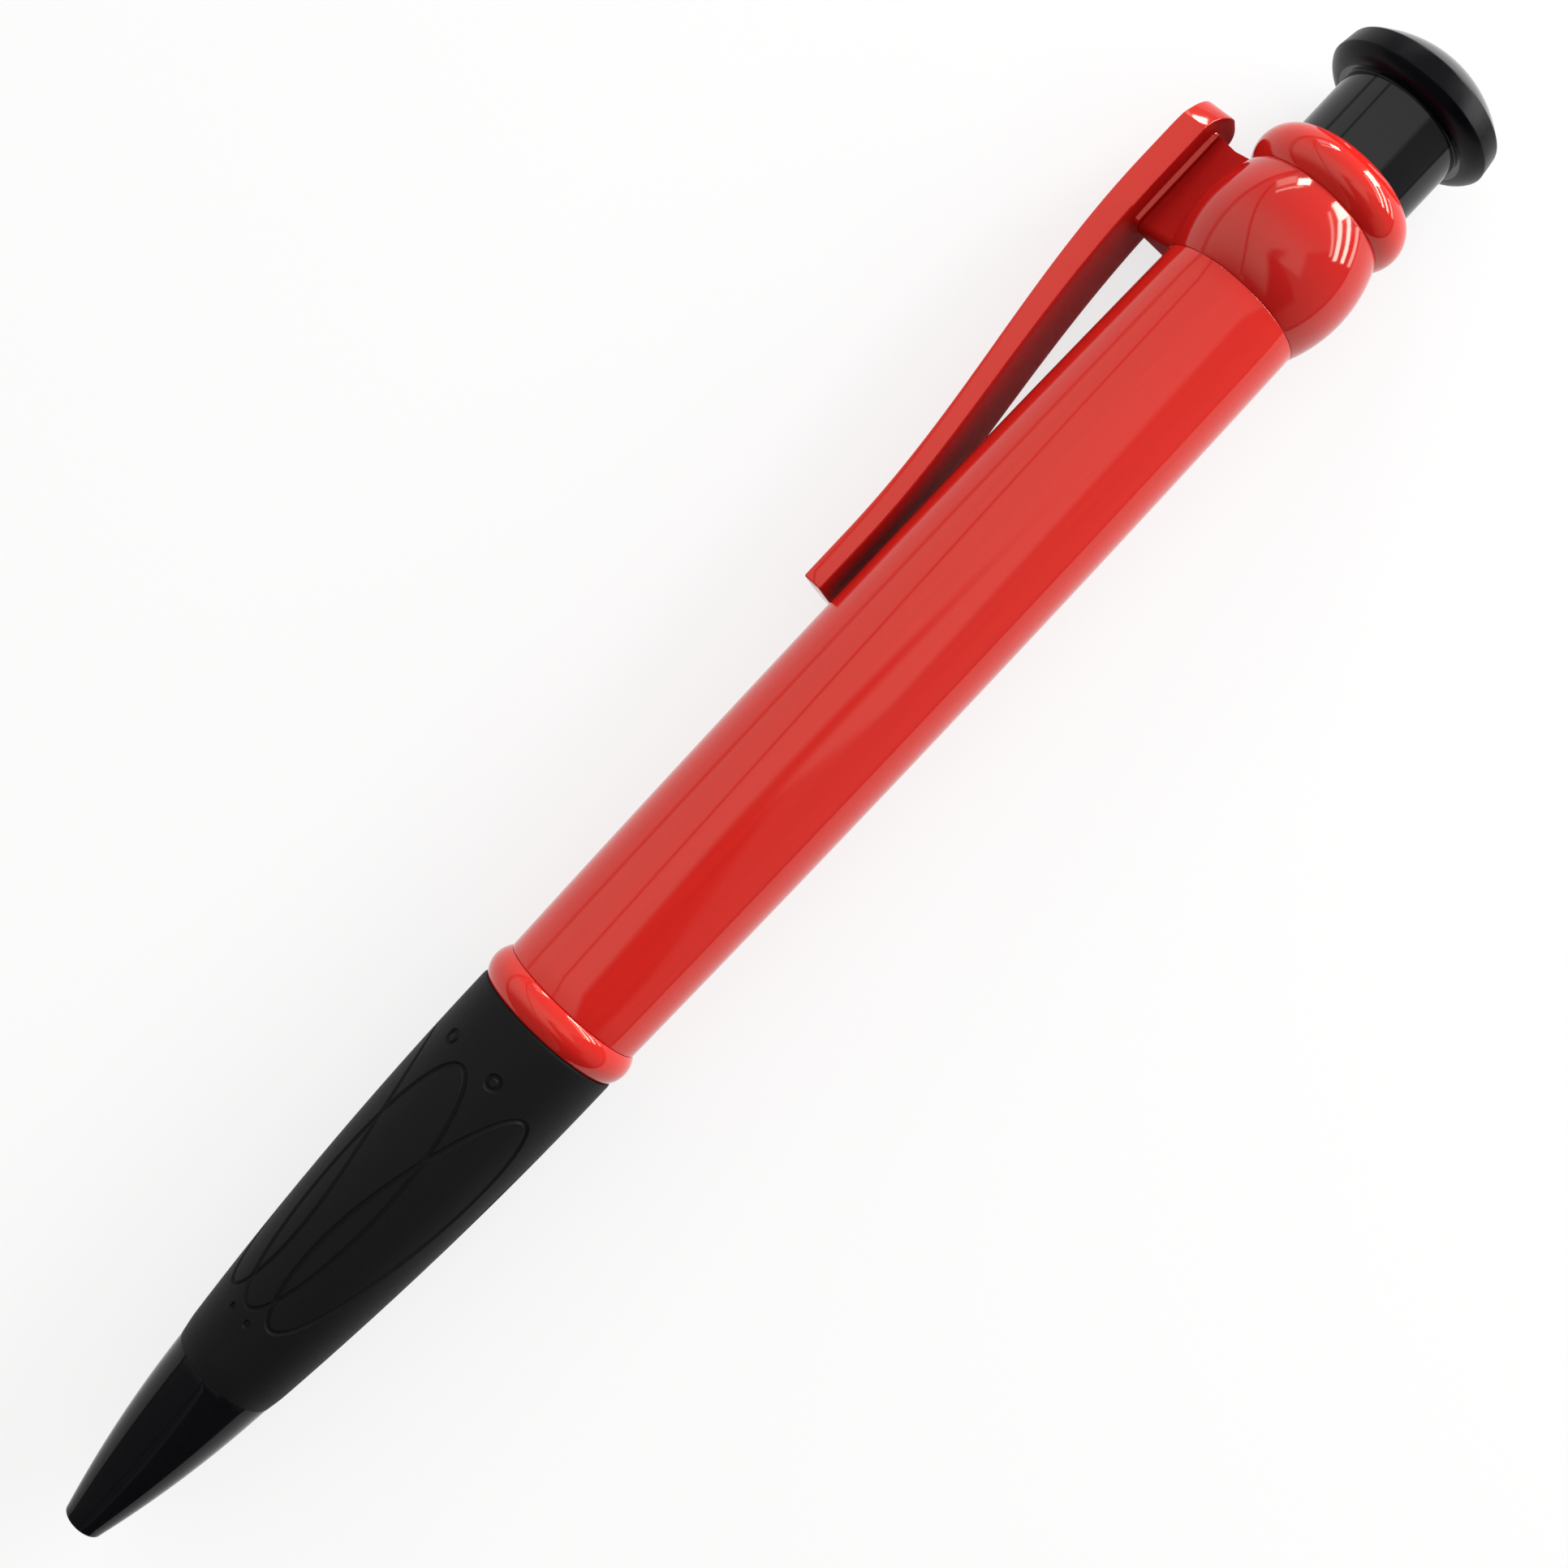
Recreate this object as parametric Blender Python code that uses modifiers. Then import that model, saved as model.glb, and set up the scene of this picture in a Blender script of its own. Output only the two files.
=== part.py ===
"""Jumbo click ballpoint pen, about 28 cm long, as separate parts about one axis.

The pen lies as it rests on a table: its axis runs along X, nose towards -X, and it has rolled
over until the edge of its clip touches the table. Places along the pen are measured from the
nose tip. Every part hangs from one empty, whose local X is the pen's axis and whose local Z
points to the clip.
"""
import math

import bmesh
import bpy
from mathutils import Matrix, Vector

MM = 0.001

# Outer lengths along the axis, from the nose tip to the crown of the button.
NOSE_LENGTH = 29.55 * MM
GRIP_LENGTH = 66.2 * MM
COLLAR_LENGTH = 5.1 * MM
BARREL_LENGTH = 134.8 * MM
KNOB_LENGTH = 17.1 * MM
STEM_SHOWING = 10.6 * MM
FLANGE_CONE = 1.85 * MM
FLANGE_RIM = 2.95 * MM
CROWN_HEIGHT = 5.35 * MM

# Outer radii. The collar and the knob meet the barrel's ends flush.
BODY_RADIUS = 11.55 * MM
BARREL_BULGE = 0.55 * MM
COLLAR_BULGE = 0.95 * MM
KNOB_BULGE = 1.88 * MM
NOSE_TIP_RADIUS = 3.15 * MM
NOSE_TIP_ROUND = 0.35 * MM
NOSE_BASE_RADIUS = 8.12 * MM
NOSE_BULGE = 0.65 * MM
GRIP_PROUD = 0.23 * MM
GRIP_BACK_RADIUS = 11.9 * MM
GRIP_BULGE = 0.9 * MM
RING_PROUD = 1.28 * MM
RING_TUBE = 4.5 * MM
RING_GROOVE = 1.34 * MM
FLANGE_PROUD = 2.15 * MM
FLANGE_TAPER = 0.4 * MM
FLANGE_BULGE = 0.4 * MM

# Walls, and the clearances between parts that touch or slide.
SEAM = 0.3 * MM
RUNNING_GAP = 0.3 * MM
NOSE_WALL = 1.1 * MM
GRIP_WALL = 1.6 * MM
CORE_WALL = 1.9 * MM
BARREL_WALL = 1.75 * MM
KNOB_WALL = 1.27 * MM
STEM_WALL = 1.65 * MM
SLEEVE_WALL = 1.1 * MM
SLEEVE_CLEARANCE = 0.7 * MM
TIP_CLEARANCE = 0.45 * MM

# Depths of the joints between the housings.
NOSE_SOCKET = 8.5 * MM
SPIGOT_WALL = 1.3 * MM
CORE_SPIGOT = 12.5 * MM
KNOB_SPIGOT = 13.4 * MM

# Clip and its foot on the knob.
CLIP_WIDTH = 12.6 * MM
CLIP_REACH = 69.3 * MM
CLIP_FLAT = 9.0 * MM
CLIP_TIP_GAP = 0.9 * MM
CLIP_RISE = 6.3 * MM
CLIP_CREST = 7.1 * MM
CLIP_TIP_THICKNESS = 3.2 * MM
CLIP_ROOT_THICKNESS = 4.2 * MM
CLIP_OVERHANG = 4.1 * MM
CLIP_TIP_BOW = 0.8 * MM
CLIP_END_ROUND = 5.4 * MM
FOOT_INSET = 0.2 * MM
FOOT_HALF_WIDTH = 2.3 * MM
FOOT_HEIGHT = 0.7 * MM
PEDESTAL_HALF_WIDTH = 2.0 * MM
PEDESTAL_FLARE = 0.9 * MM
TENON_HALF_WIDTH = 0.9 * MM
TENON_DEPTH = 2.0 * MM
TENON_INSET = 3.0 * MM

# Click mechanism. The button, the cam and the refill all travel by the stroke.
STROKE = 9.0 * MM
STEM_HIDDEN = 8.6 * MM
SLEEVE_LENGTH = 27.5 * MM
SLEEVE_FLANGE = 1.7 * MM
SLEEVE_CAP = 1.6 * MM
RIB_COUNT = 4
RIB_HEIGHT = 1.2 * MM
RIB_WIDTH = 3.0 * MM
LUG_WIDTH = 3.6 * MM
TOOTH_COUNT = 8
TOOTH_HEIGHT = 1.2 * MM
PLUNGER_ROD = 3.6 * MM
PLUNGER_CROWN = 4.2 * MM
BOSS_WALL = 1.5 * MM
BOSS_LENGTH = 9.0 * MM
CROWN_WALL = 2.4 * MM
ROTOR_LENGTH = 6.5 * MM
LUG_SLOPE = 1.0 * MM

# Refill, its extension and its spring.
TIP_SETBACK = 3.5 * MM
BALL_RADIUS = 0.6 * MM
BALL_CLEARANCE = 0.08 * MM
BALL_SHOWING = 0.4 * MM
TIP_RADIUS = 1.15 * MM
TIP_LIP = 0.2 * MM
TIP_CONE = 3.6 * MM
TIP_SHANK = 4.6 * MM
TIP_STUB = 3.4 * MM
TIP_STUB_RADIUS = 0.8 * MM
INK_CHANNEL = 0.3 * MM
HOLDER_RADIUS = 1.9 * MM
HOLDER_LENGTH = 6.0 * MM
HOLDER_STUB = 8.0 * MM
REFILL_RADIUS = 2.2 * MM
REFILL_WALL = 0.6 * MM
REFILL_LENGTH = 160.0 * MM
TAIL_LENGTH = 3.4 * MM
TAIL_STUB = 6.0 * MM
TUBE_WALL = 0.9 * MM
SOCKET_DEPTH = 17.0 * MM
STUB_WALL = 0.3 * MM
STUB_LENGTH = 4.5 * MM
GUIDE_LENGTH = 6.0 * MM
GUIDE_INSET = 4.0 * MM
SPRING_WIRE = 0.3 * MM
SPRING_CLEARANCE = 0.4 * MM
SPRING_TURNS = 12
SPRING_SHOULDER = 9.0 * MM
SPRING_LENGTH = 23.4 * MM
SEAT_THICKNESS = 2.0 * MM
SEAT_RADIUS = 4.0 * MM
NOSE_END_WALL = 2.0 * MM

# Facets round the outer parts, the inner parts and the smallest parts.
OUTER_SIDES = 40
INNER_SIDES = 32
SMALL_SIDES = 16
COIL_POINTS = 9
MERGE = 0.00001

# Places along the axis, from the nose tip.
GRIP_START = NOSE_LENGTH
COLLAR_START = GRIP_START + GRIP_LENGTH
BARREL_START = COLLAR_START + COLLAR_LENGTH
KNOB_START = BARREL_START + BARREL_LENGTH
RING_START = KNOB_START + KNOB_LENGTH

# Radii that follow from the walls and clearances.
GRIP_FRONT_RADIUS = NOSE_BASE_RADIUS + GRIP_PROUD
CORE_INSET = GRIP_WALL + SEAM
BARREL_BORE = BODY_RADIUS - BARREL_WALL
SPIGOT_RADIUS = BARREL_BORE - SEAM
BUTTON_BORE = BODY_RADIUS - KNOB_WALL
STEM_RADIUS = BUTTON_BORE - RUNNING_GAP
STEM_BORE = STEM_RADIUS - STEM_WALL
SLEEVE_RADIUS = STEM_BORE - SLEEVE_CLEARANCE
SLEEVE_BORE = SLEEVE_RADIUS - SLEEVE_WALL
SLEEVE_SEAT = SLEEVE_RADIUS + SEAM
RIB_RADIUS = SLEEVE_BORE - RIB_HEIGHT
LUG_REACH = math.sqrt((SLEEVE_BORE - RUNNING_GAP) ** 2 - LUG_WIDTH ** 2 / 4)
CAM_RADIUS = RIB_RADIUS - RUNNING_GAP
FLANGE_RADIUS = BODY_RADIUS + FLANGE_PROUD
REFILL_BORE = REFILL_RADIUS - REFILL_WALL
SOCKET_RADIUS = REFILL_RADIUS + SEAM
THRUST_RADIUS = SOCKET_RADIUS + TUBE_WALL
CAM_BORE = SOCKET_RADIUS + STUB_WALL - SEAM
SPRING_RADIUS = REFILL_RADIUS + SPRING_CLEARANCE + SPRING_WIRE
SPRING_CAVITY = SPRING_RADIUS + SPRING_WIRE + SEAM
TIP_HOLE = TIP_RADIUS + TIP_CLEARANCE
HOLDER_CAVITY = HOLDER_RADIUS + TIP_CLEARANCE

# The rounded ring behind the knob, and the button that stands out of it.
RING_CREST_RADIUS = BODY_RADIUS + RING_PROUD
RING_CENTRE_RADIUS = RING_CREST_RADIUS - RING_TUBE
RING_FRONT_ANGLE = math.acos((RING_TUBE - RING_GROOVE) / RING_TUBE)
RING_BACK_ANGLE = math.acos((BUTTON_BORE - RING_CENTRE_RADIUS) / RING_TUBE)
RING_CREST = RING_START + RING_TUBE * math.sin(RING_FRONT_ANGLE)
RING_END = RING_CREST + RING_TUBE * math.sin(RING_BACK_ANGLE)
FLANGE_ROOT = RING_END + STEM_SHOWING
RIM_START = FLANGE_ROOT + FLANGE_CONE
RIM_END = RIM_START + FLANGE_RIM
PEN_LENGTH = RIM_END + CROWN_HEIGHT
STEM_END = RING_END - STEM_HIDDEN

# Cam stations: the sleeve ends inside the stem, and the cam sits under the sleeve's cap.
SLEEVE_START = KNOB_START - KNOB_SPIGOT
SLEEVE_END = SLEEVE_START + SLEEVE_LENGTH
SLEEVE_CAP_START = SLEEVE_END - SLEEVE_CAP
CROWN_TOP = SLEEVE_CAP_START - RUNNING_GAP
CROWN_FOOT = CROWN_TOP - PLUNGER_CROWN
ROTOR_TOP = CROWN_FOOT - RUNNING_GAP
ROTOR_FOOT = ROTOR_TOP - ROTOR_LENGTH
LUG_TOP = ROTOR_TOP - TOOTH_HEIGHT - SEAM
LUG_FOOT = ROTOR_FOOT + SEAM
RIB_END = LUG_TOP - STROKE + 2 * LUG_SLOPE
BUTTON_WELL = STEM_END - STROKE - SEAM
BOSS_RADIUS = PLUNGER_ROD + SEAM + BOSS_WALL
BOSS_BORE = PLUNGER_ROD + SEAM
BOSS_ROOF = RIM_END - CROWN_WALL
BOSS_FOOT = BOSS_ROOF - BOSS_LENGTH
ROD_TOP = BOSS_ROOF - SEAM

# Refill stations.
BALL_CENTRE = TIP_SETBACK + BALL_RADIUS
TIP_START = TIP_SETBACK + BALL_SHOWING
TIP_SHANK_START = TIP_START + TIP_CONE
HOLDER_START = TIP_SHANK_START + TIP_SHANK
TUBE_START = HOLDER_START + HOLDER_LENGTH
TUBE_END = TUBE_START + REFILL_LENGTH
TAIL_END = TUBE_END + SEAM + TAIL_LENGTH
SOCKET_END = TAIL_END + SEAM
THRUST_START = SOCKET_END - SOCKET_DEPTH
THRUST_SHOULDER = ROTOR_FOOT - SEAM
SEAT_START = SPRING_SHOULDER + SPRING_LENGTH + 2 * SEAM

# Clip stations: heights are measured from the pen's axis towards the clip.
FOOT_START = KNOB_START + FOOT_INSET
FOOT_END = RING_START - FOOT_INSET
CLIP_START = KNOB_START - CLIP_REACH
CLIP_END = FOOT_END + CLIP_OVERHANG
CLIP_TIP_UNDER = BODY_RADIUS + BARREL_BULGE + CLIP_TIP_GAP
CLIP_TOP = CLIP_TIP_UNDER + CLIP_TIP_THICKNESS + CLIP_RISE
CLIP_ROOT_UNDER = CLIP_TOP - CLIP_ROOT_THICKNESS
FOOT_UNDER = CLIP_ROOT_UNDER - FOOT_HEIGHT
PEDESTAL_TOP = FOOT_UNDER - SEAM
PEDESTAL_ROOT = BUTTON_BORE + KNOB_WALL / 3
CLIP_PROFILE_STEPS = 14
CLIP_ROUND_STEPS = 6

# The pen rests on the button's flange and on the lower outer edge of the clip.
CLIP_CORNER = math.hypot(CLIP_TOP, CLIP_WIDTH / 2)
CLIP_DROOP = math.asin(FLANGE_RADIUS / CLIP_CORNER) - math.atan2(CLIP_WIDTH / 2, CLIP_TOP)
CLIP_SIDE_REACH = CLIP_TOP * math.cos(CLIP_DROOP) + CLIP_WIDTH / 2 * math.sin(CLIP_DROOP)
AXIS_PLACE = (-PEN_LENGTH / 2, (FLANGE_RADIUS - CLIP_SIDE_REACH) / 2, FLANGE_RADIUS)

RED = (0.62, 0.028, 0.02, 1.0)
GLOSS_BLACK = (0.008, 0.008, 0.009, 1.0)
RUBBER_BLACK = (0.014, 0.014, 0.015, 1.0)
CORE_BLACK = (0.02, 0.02, 0.022, 1.0)
CAM_WHITE = (0.75, 0.74, 0.7, 1.0)
TUBE_CLEAR = (0.6, 0.62, 0.66, 1.0)
BRASS = (0.72, 0.52, 0.22, 1.0)
STEEL = (0.55, 0.56, 0.58, 1.0)


def clear_scene():
    """Remove whatever the file held before."""
    for thing in list(bpy.data.objects):
        bpy.data.objects.remove(thing)


def new_collection(name):
    """A collection of this name, linked to the scene."""
    group = bpy.data.collections.new(name)
    bpy.context.scene.collection.children.link(group)
    return group


def plastic(name, colour, roughness, metallic=0.0):
    """A plain Principled material."""
    material = bpy.data.materials.new(name)
    material.use_nodes = True
    shader = material.node_tree.nodes["Principled BSDF"]
    shader.inputs["Base Color"].default_value = colour
    shader.inputs["Roughness"].default_value = roughness
    shader.inputs["Metallic"].default_value = metallic
    return material


def bulged(start, end, bulge, steps):
    """Points (place, radius) on the circular arc from start to end that swells by bulge."""
    run = end[0] - start[0]
    rise = end[1] - start[1]
    chord = math.hypot(run, rise)
    radius = (chord * chord / 4 + bulge * bulge) / (2 * bulge)
    half_angle = math.asin(chord / 2 / radius)
    points = []
    for i in range(steps + 1):
        angle = half_angle * (2 * i / steps - 1)
        along = chord / 2 + radius * math.sin(angle)
        out = radius * math.cos(angle) - (radius - bulge)
        place = start[0] + (run * along - rise * out) / chord
        points.append((place, start[1] + (rise * along + run * out) / chord))
    return points


def round_arc(centre, radius, first, last, steps):
    """Points (place, radius) round a centre, with angles from straight out, towards the button."""
    points = []
    for i in range(steps + 1):
        angle = first + (last - first) * i / steps
        points.append((centre[0] + radius * math.sin(angle), centre[1] + radius * math.cos(angle)))
    return points


def pen_object(name, data, material, group):
    """Link an object under the pen's empty."""
    thing = bpy.data.objects.new(name, data)
    group.objects.link(thing)
    thing.parent = PEN
    if material is not None:
        data.materials.append(material)
    return thing


def turned(name, outer, inner, material, sides, group=None):
    """Turn a profile about the pen's axis.

    outer and inner list (place, radius) from the nose end to the button end. A solid part has no
    inner list, and its outer list starts and ends on the axis.
    """
    points = list(reversed(outer)) + list(inner)
    mesh = bpy.data.meshes.new(name)
    edges = [(i, i + 1) for i in range(len(points) - 1)]
    if points[0][1] > 0 or points[-1][1] > 0:
        edges.append((len(points) - 1, 0))
    mesh.from_pydata([(radius, 0, place) for place, radius in points], edges, [])
    thing = pen_object(name, mesh, material, group or PARTS)
    thing.rotation_euler = (0, math.pi / 2, 0)
    screw = thing.modifiers.new("turn", "SCREW")
    screw.axis = "Z"
    screw.steps = sides
    screw.render_steps = sides
    screw.use_merge_vertices = True
    screw.merge_threshold = MERGE
    screw.use_smooth_shade = True
    return thing


def made_mesh(thing):
    """Replace an object by one that holds its evaluated mesh, welded and with no modifiers."""
    bpy.context.view_layer.update()
    graph = bpy.context.evaluated_depsgraph_get()
    mesh = bpy.data.meshes.new_from_object(thing.evaluated_get(graph))
    work = bmesh.new()
    work.from_mesh(mesh)
    bmesh.ops.remove_doubles(work, verts=work.verts, dist=MERGE)
    work.to_mesh(mesh)
    work.free()
    name = thing.name
    group = thing.users_collection[0]
    location = thing.location.copy()
    rotation = thing.rotation_euler.copy()
    bpy.data.objects.remove(thing)
    solid = pen_object(name, mesh, None, group)
    solid.location = location
    solid.rotation_euler = rotation
    return solid


def set_teeth(thing, place):
    """Pull the ring of points at this place towards the nose, in even teeth round the axis."""
    for point in thing.data.vertices:
        if abs(point.co.z - place) < MERGE and point.co.xy.length > MERGE:
            turn = math.atan2(point.co.y, point.co.x) / (2 * math.pi) * TOOTH_COUNT % 1.0
            point.co.z -= TOOTH_HEIGHT * (1 - abs(2 * turn - 1))


def as_tool(thing):
    """Mark an object as a cutter or a lump that a Boolean uses."""
    thing.hide_render = True
    thing.display_type = "WIRE"
    return thing


def boolean(thing, tool, operation):
    """Cut or join a part with a tool."""
    step = thing.modifiers.new(tool.name, "BOOLEAN")
    step.operation = operation
    step.object = tool
    step.solver = "EXACT"


def block(name, low, high, group=None):
    """A box between two corners in the pen's frame."""
    mesh = bpy.data.meshes.new(name)
    work = bmesh.new()
    bmesh.ops.create_cube(work, size=1.0)
    size = Vector(high) - Vector(low)
    bmesh.ops.scale(work, vec=size, verts=work.verts)
    bmesh.ops.translate(work, vec=(Vector(high) + Vector(low)) / 2, verts=work.verts)
    work.to_mesh(mesh)
    work.free()
    return as_tool(pen_object(name, mesh, None, group or TOOLS))


def spokes(name, inner, outer, width, foot, top, slope, offset):
    """Boxes spread round the axis, whose slanted end is at foot (slope below 0) or at top."""
    mesh = bpy.data.meshes.new(name)
    work = bmesh.new()
    for i in range(RIB_COUNT):
        made = bmesh.ops.create_cube(work, size=1.0)["verts"]
        size = (outer - inner, width, top - foot)
        bmesh.ops.scale(work, vec=size, verts=made)
        bmesh.ops.translate(work, vec=((inner + outer) / 2, 0, (foot + top) / 2), verts=made)
        for point in made:
            slanted_end = top if slope > 0 else foot
            if abs(point.co.z - slanted_end) < MERGE and point.co.y > 0:
                point.co.z -= slope
        turn = Matrix.Rotation(2 * math.pi * (i + offset) / RIB_COUNT, 3, "Z")
        bmesh.ops.rotate(work, cent=(0, 0, 0), matrix=turn, verts=made)
    work.to_mesh(mesh)
    work.free()
    thing = as_tool(pen_object(name, mesh, None, TOOLS))
    thing.rotation_euler = (0, math.pi / 2, 0)
    return thing


def plate(name, outline, half_depth, location, rotation, group):
    """A flat outline, filled and extruded both ways, as a mesh."""
    curve = bpy.data.curves.new(name, "CURVE")
    curve.dimensions = "2D"
    curve.fill_mode = "BOTH"
    curve.extrude = half_depth
    spline = curve.splines.new("POLY")
    spline.points.add(len(outline) - 1)
    for point, (x, y) in zip(spline.points, outline):
        point.co = (x, y, 0, 1)
    spline.use_cyclic_u = True
    thing = pen_object(name, curve, None, group)
    thing.location = location
    thing.rotation_euler = rotation
    return made_mesh(thing)


def nose_radius(place):
    """Outer radius of the nose at a place behind its rounded end."""
    points = nose_outer()
    for (near, first), (far, last) in zip(points, points[1:]):
        if near <= place <= far and far > near:
            return first + (last - first) * (place - near) / (far - near)
    return NOSE_BASE_RADIUS


def nose_outer():
    """The bullet shape, with a small flat end round the hole and a rounded edge."""
    edge = (NOSE_TIP_ROUND, NOSE_TIP_RADIUS - NOSE_TIP_ROUND)
    end = round_arc(edge, NOSE_TIP_ROUND, -math.pi / 2, 0, 4)
    side = bulged(end[-1], (GRIP_START - SEAM, NOSE_BASE_RADIUS), NOSE_BULGE, 9)
    return end + side[1:]


def nose_socket():
    """Start and radius of the bore at the nose's back, which the core's spigot fills."""
    start = GRIP_START - NOSE_SOCKET - SEAM
    return start, nose_radius(start) - NOSE_WALL


def grip_line(inset, steps):
    """The grip's outer line from end to end, moved in by an inset."""
    front = (GRIP_START, GRIP_FRONT_RADIUS - inset)
    back = (COLLAR_START - SEAM, GRIP_BACK_RADIUS - inset)
    return bulged(front, back, GRIP_BULGE, steps)


def make_nose(gloss):
    """Nose cone: tip hole, spring pocket and the socket for the core."""
    socket, socket_radius = nose_socket()
    inner = [
        (0, TIP_HOLE),
        (NOSE_END_WALL, TIP_HOLE),
        (NOSE_END_WALL + HOLDER_CAVITY - TIP_HOLE, HOLDER_CAVITY),
        (SPRING_SHOULDER, HOLDER_CAVITY),
        (SPRING_SHOULDER, SPRING_CAVITY),
        (socket, SPRING_CAVITY),
        (socket, socket_radius),
        (GRIP_START - SEAM, socket_radius),
    ]
    turned("nose_cone", nose_outer(), inner, gloss, OUTER_SIDES)


def make_core(black):
    """Inner front tube: spigot into the nose, seat for the grip, spigot into the barrel."""
    socket, socket_radius = nose_socket()
    spigot = socket_radius - SEAM
    bore = spigot - SPIGOT_WALL
    end = BARREL_START + CORE_SPIGOT
    body = grip_line(CORE_INSET, 9)
    outer = [(socket + SEAM, spigot), (GRIP_START, spigot)] + body
    outer += [(COLLAR_START, body[-1][1]), (COLLAR_START, SPIGOT_RADIUS), (end, SPIGOT_RADIUS)]
    hollow = grip_line(CORE_INSET + CORE_WALL, 9)
    inner = [(socket + SEAM, bore), (GRIP_START, bore)] + hollow[1:]
    inner += [(BARREL_START, SPIGOT_RADIUS - CORE_WALL), (end, SPIGOT_RADIUS - CORE_WALL)]
    turned("front_core", outer, inner, black, INNER_SIDES)


def make_grip(rubber):
    """Rubber sleeve over the core."""
    outer = grip_line(0, 12)
    inner = grip_line(GRIP_WALL, 12)
    turned("grip_sleeve", outer, inner, rubber, OUTER_SIDES)


def make_collar(red):
    """Rounded bead on the core's spigot, between the grip and the barrel."""
    front = (COLLAR_START, BODY_RADIUS)
    back = (BARREL_START - SEAM, BODY_RADIUS)
    outer = bulged(front, back, COLLAR_BULGE, 8)
    bore = SPIGOT_RADIUS + SEAM
    turned("collar_ring", outer, [(front[0], bore), (back[0], bore)], red, OUTER_SIDES)


def make_barrel(red):
    """Long tube, a little fuller in the middle."""
    front = (BARREL_START, BODY_RADIUS)
    back = (KNOB_START - SEAM, BODY_RADIUS)
    outer = bulged(front, back, BARREL_BULGE, 12)
    turned("barrel", outer, [(front[0], BARREL_BORE), (back[0], BARREL_BORE)], red, OUTER_SIDES)


def make_knob(red):
    """Upper housing: spigot into the barrel, bulged outside, well for the button, clip pedestal."""
    front = (KNOB_START, BODY_RADIUS)
    back = (RING_START - SEAM, BODY_RADIUS)
    outer = [(SLEEVE_START, SPIGOT_RADIUS), (KNOB_START, SPIGOT_RADIUS)]
    outer += bulged(front, back, KNOB_BULGE, 12)
    inner = [
        (SLEEVE_START, SLEEVE_SEAT),
        (BUTTON_WELL, SLEEVE_SEAT),
        (BUTTON_WELL, BUTTON_BORE),
        (back[0], BUTTON_BORE),
    ]
    knob = turned("knob", outer, inner, red, OUTER_SIDES)
    crest = BODY_RADIUS + KNOB_BULGE
    side = [(PEDESTAL_HALF_WIDTH + PEDESTAL_FLARE, PEDESTAL_ROOT)]
    for i in range(4):
        angle = math.pi / 2 * i / 3
        side.append((
            PEDESTAL_HALF_WIDTH + PEDESTAL_FLARE * (1 - math.sin(angle)),
            crest + PEDESTAL_FLARE * (1 - math.cos(angle)),
        ))
    side.append((PEDESTAL_HALF_WIDTH, PEDESTAL_TOP))
    outline = side + [(-across, height) for across, height in reversed(side)]
    middle = ((FOOT_START + FOOT_END) / 2, 0, 0)
    upright = (math.pi / 2, 0, math.pi / 2)
    half_length = (FOOT_END - FOOT_START) / 2
    pedestal = as_tool(plate("pedestal", outline, half_length, middle, upright, TOOLS))
    boolean(knob, pedestal, "UNION")
    slot_half = TENON_HALF_WIDTH + SEAM
    slot = block(
        "tenon_slot",
        (FOOT_START + TENON_INSET - SEAM, -slot_half, FOOT_UNDER - TENON_DEPTH - SEAM),
        (FOOT_END - TENON_INSET + SEAM, slot_half, CLIP_TOP),
    )
    boolean(knob, slot, "DIFFERENCE")


def make_ring(red):
    """Rounded ring that closes the knob and guides the button's stem."""
    start = RING_START
    arc = round_arc((RING_CREST, RING_CENTRE_RADIUS), RING_TUBE, -RING_FRONT_ANGLE, RING_BACK_ANGLE, 12)
    turned("top_ring", arc, [(start, BUTTON_BORE)], red, OUTER_SIDES)


def clip_share(place):
    """How far the clip has risen at a place, from 0 at its tip to 1 over its foot."""
    first = CLIP_START + CLIP_FLAT
    share = (place - first) / (FOOT_START + CLIP_CREST - first)
    return (1 - math.cos(math.pi * min(max(share, 0.0), 1.0))) / 2


def clip_outer(place):
    """Height of the clip's outer face."""
    return CLIP_TIP_UNDER + CLIP_TIP_THICKNESS + CLIP_RISE * clip_share(place)


def clip_under(place):
    """Height of the clip's inner face: the clip is thicker towards its root."""
    growth = CLIP_ROOT_THICKNESS - CLIP_TIP_THICKNESS
    return clip_outer(place) - CLIP_TIP_THICKNESS - growth * clip_share(place) ** 2


def clip_places():
    """Places along the clip where its side outline has points."""
    first = CLIP_START + CLIP_FLAT
    last = FOOT_START + CLIP_CREST
    bend = [first + (last - first) * i / CLIP_PROFILE_STEPS for i in range(CLIP_PROFILE_STEPS + 1)]
    return [CLIP_START] + bend + [CLIP_END]


def make_clip(red):
    """Curved clip, cut to its plan, with a foot and tenon on the knob."""
    places = clip_places()
    hinge = Vector((FOOT_END, 0, FOOT_UNDER))
    under = [(place, clip_under(place)) for place in places]
    over = [(place, clip_outer(place)) for place in reversed(places)]
    outline = [(place - hinge.x, height - hinge.z) for place, height in under + over]
    on_side = (math.pi / 2, 0, 0)
    clip = plate("clip", outline, CLIP_WIDTH, hinge, on_side, PARTS)
    clip.data.materials.append(red)
    plan = as_tool(plate("clip_plan", clip_plan(), CLIP_TOP, (0, 0, CLIP_TOP), (0, 0, 0), TOOLS))
    boolean(clip, plan, "INTERSECT")
    lap = CLIP_ROOT_UNDER + FOOT_HEIGHT
    foot = block(
        "clip_foot",
        (FOOT_START, -FOOT_HALF_WIDTH, FOOT_UNDER),
        (FOOT_END, FOOT_HALF_WIDTH, lap),
    )
    boolean(clip, foot, "UNION")
    tenon = block(
        "clip_tenon",
        (FOOT_START + TENON_INSET, -TENON_HALF_WIDTH, FOOT_UNDER - TENON_DEPTH),
        (FOOT_END - TENON_INSET, TENON_HALF_WIDTH, lap - FOOT_HEIGHT / 2),
    )
    boolean(clip, tenon, "UNION")


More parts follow.
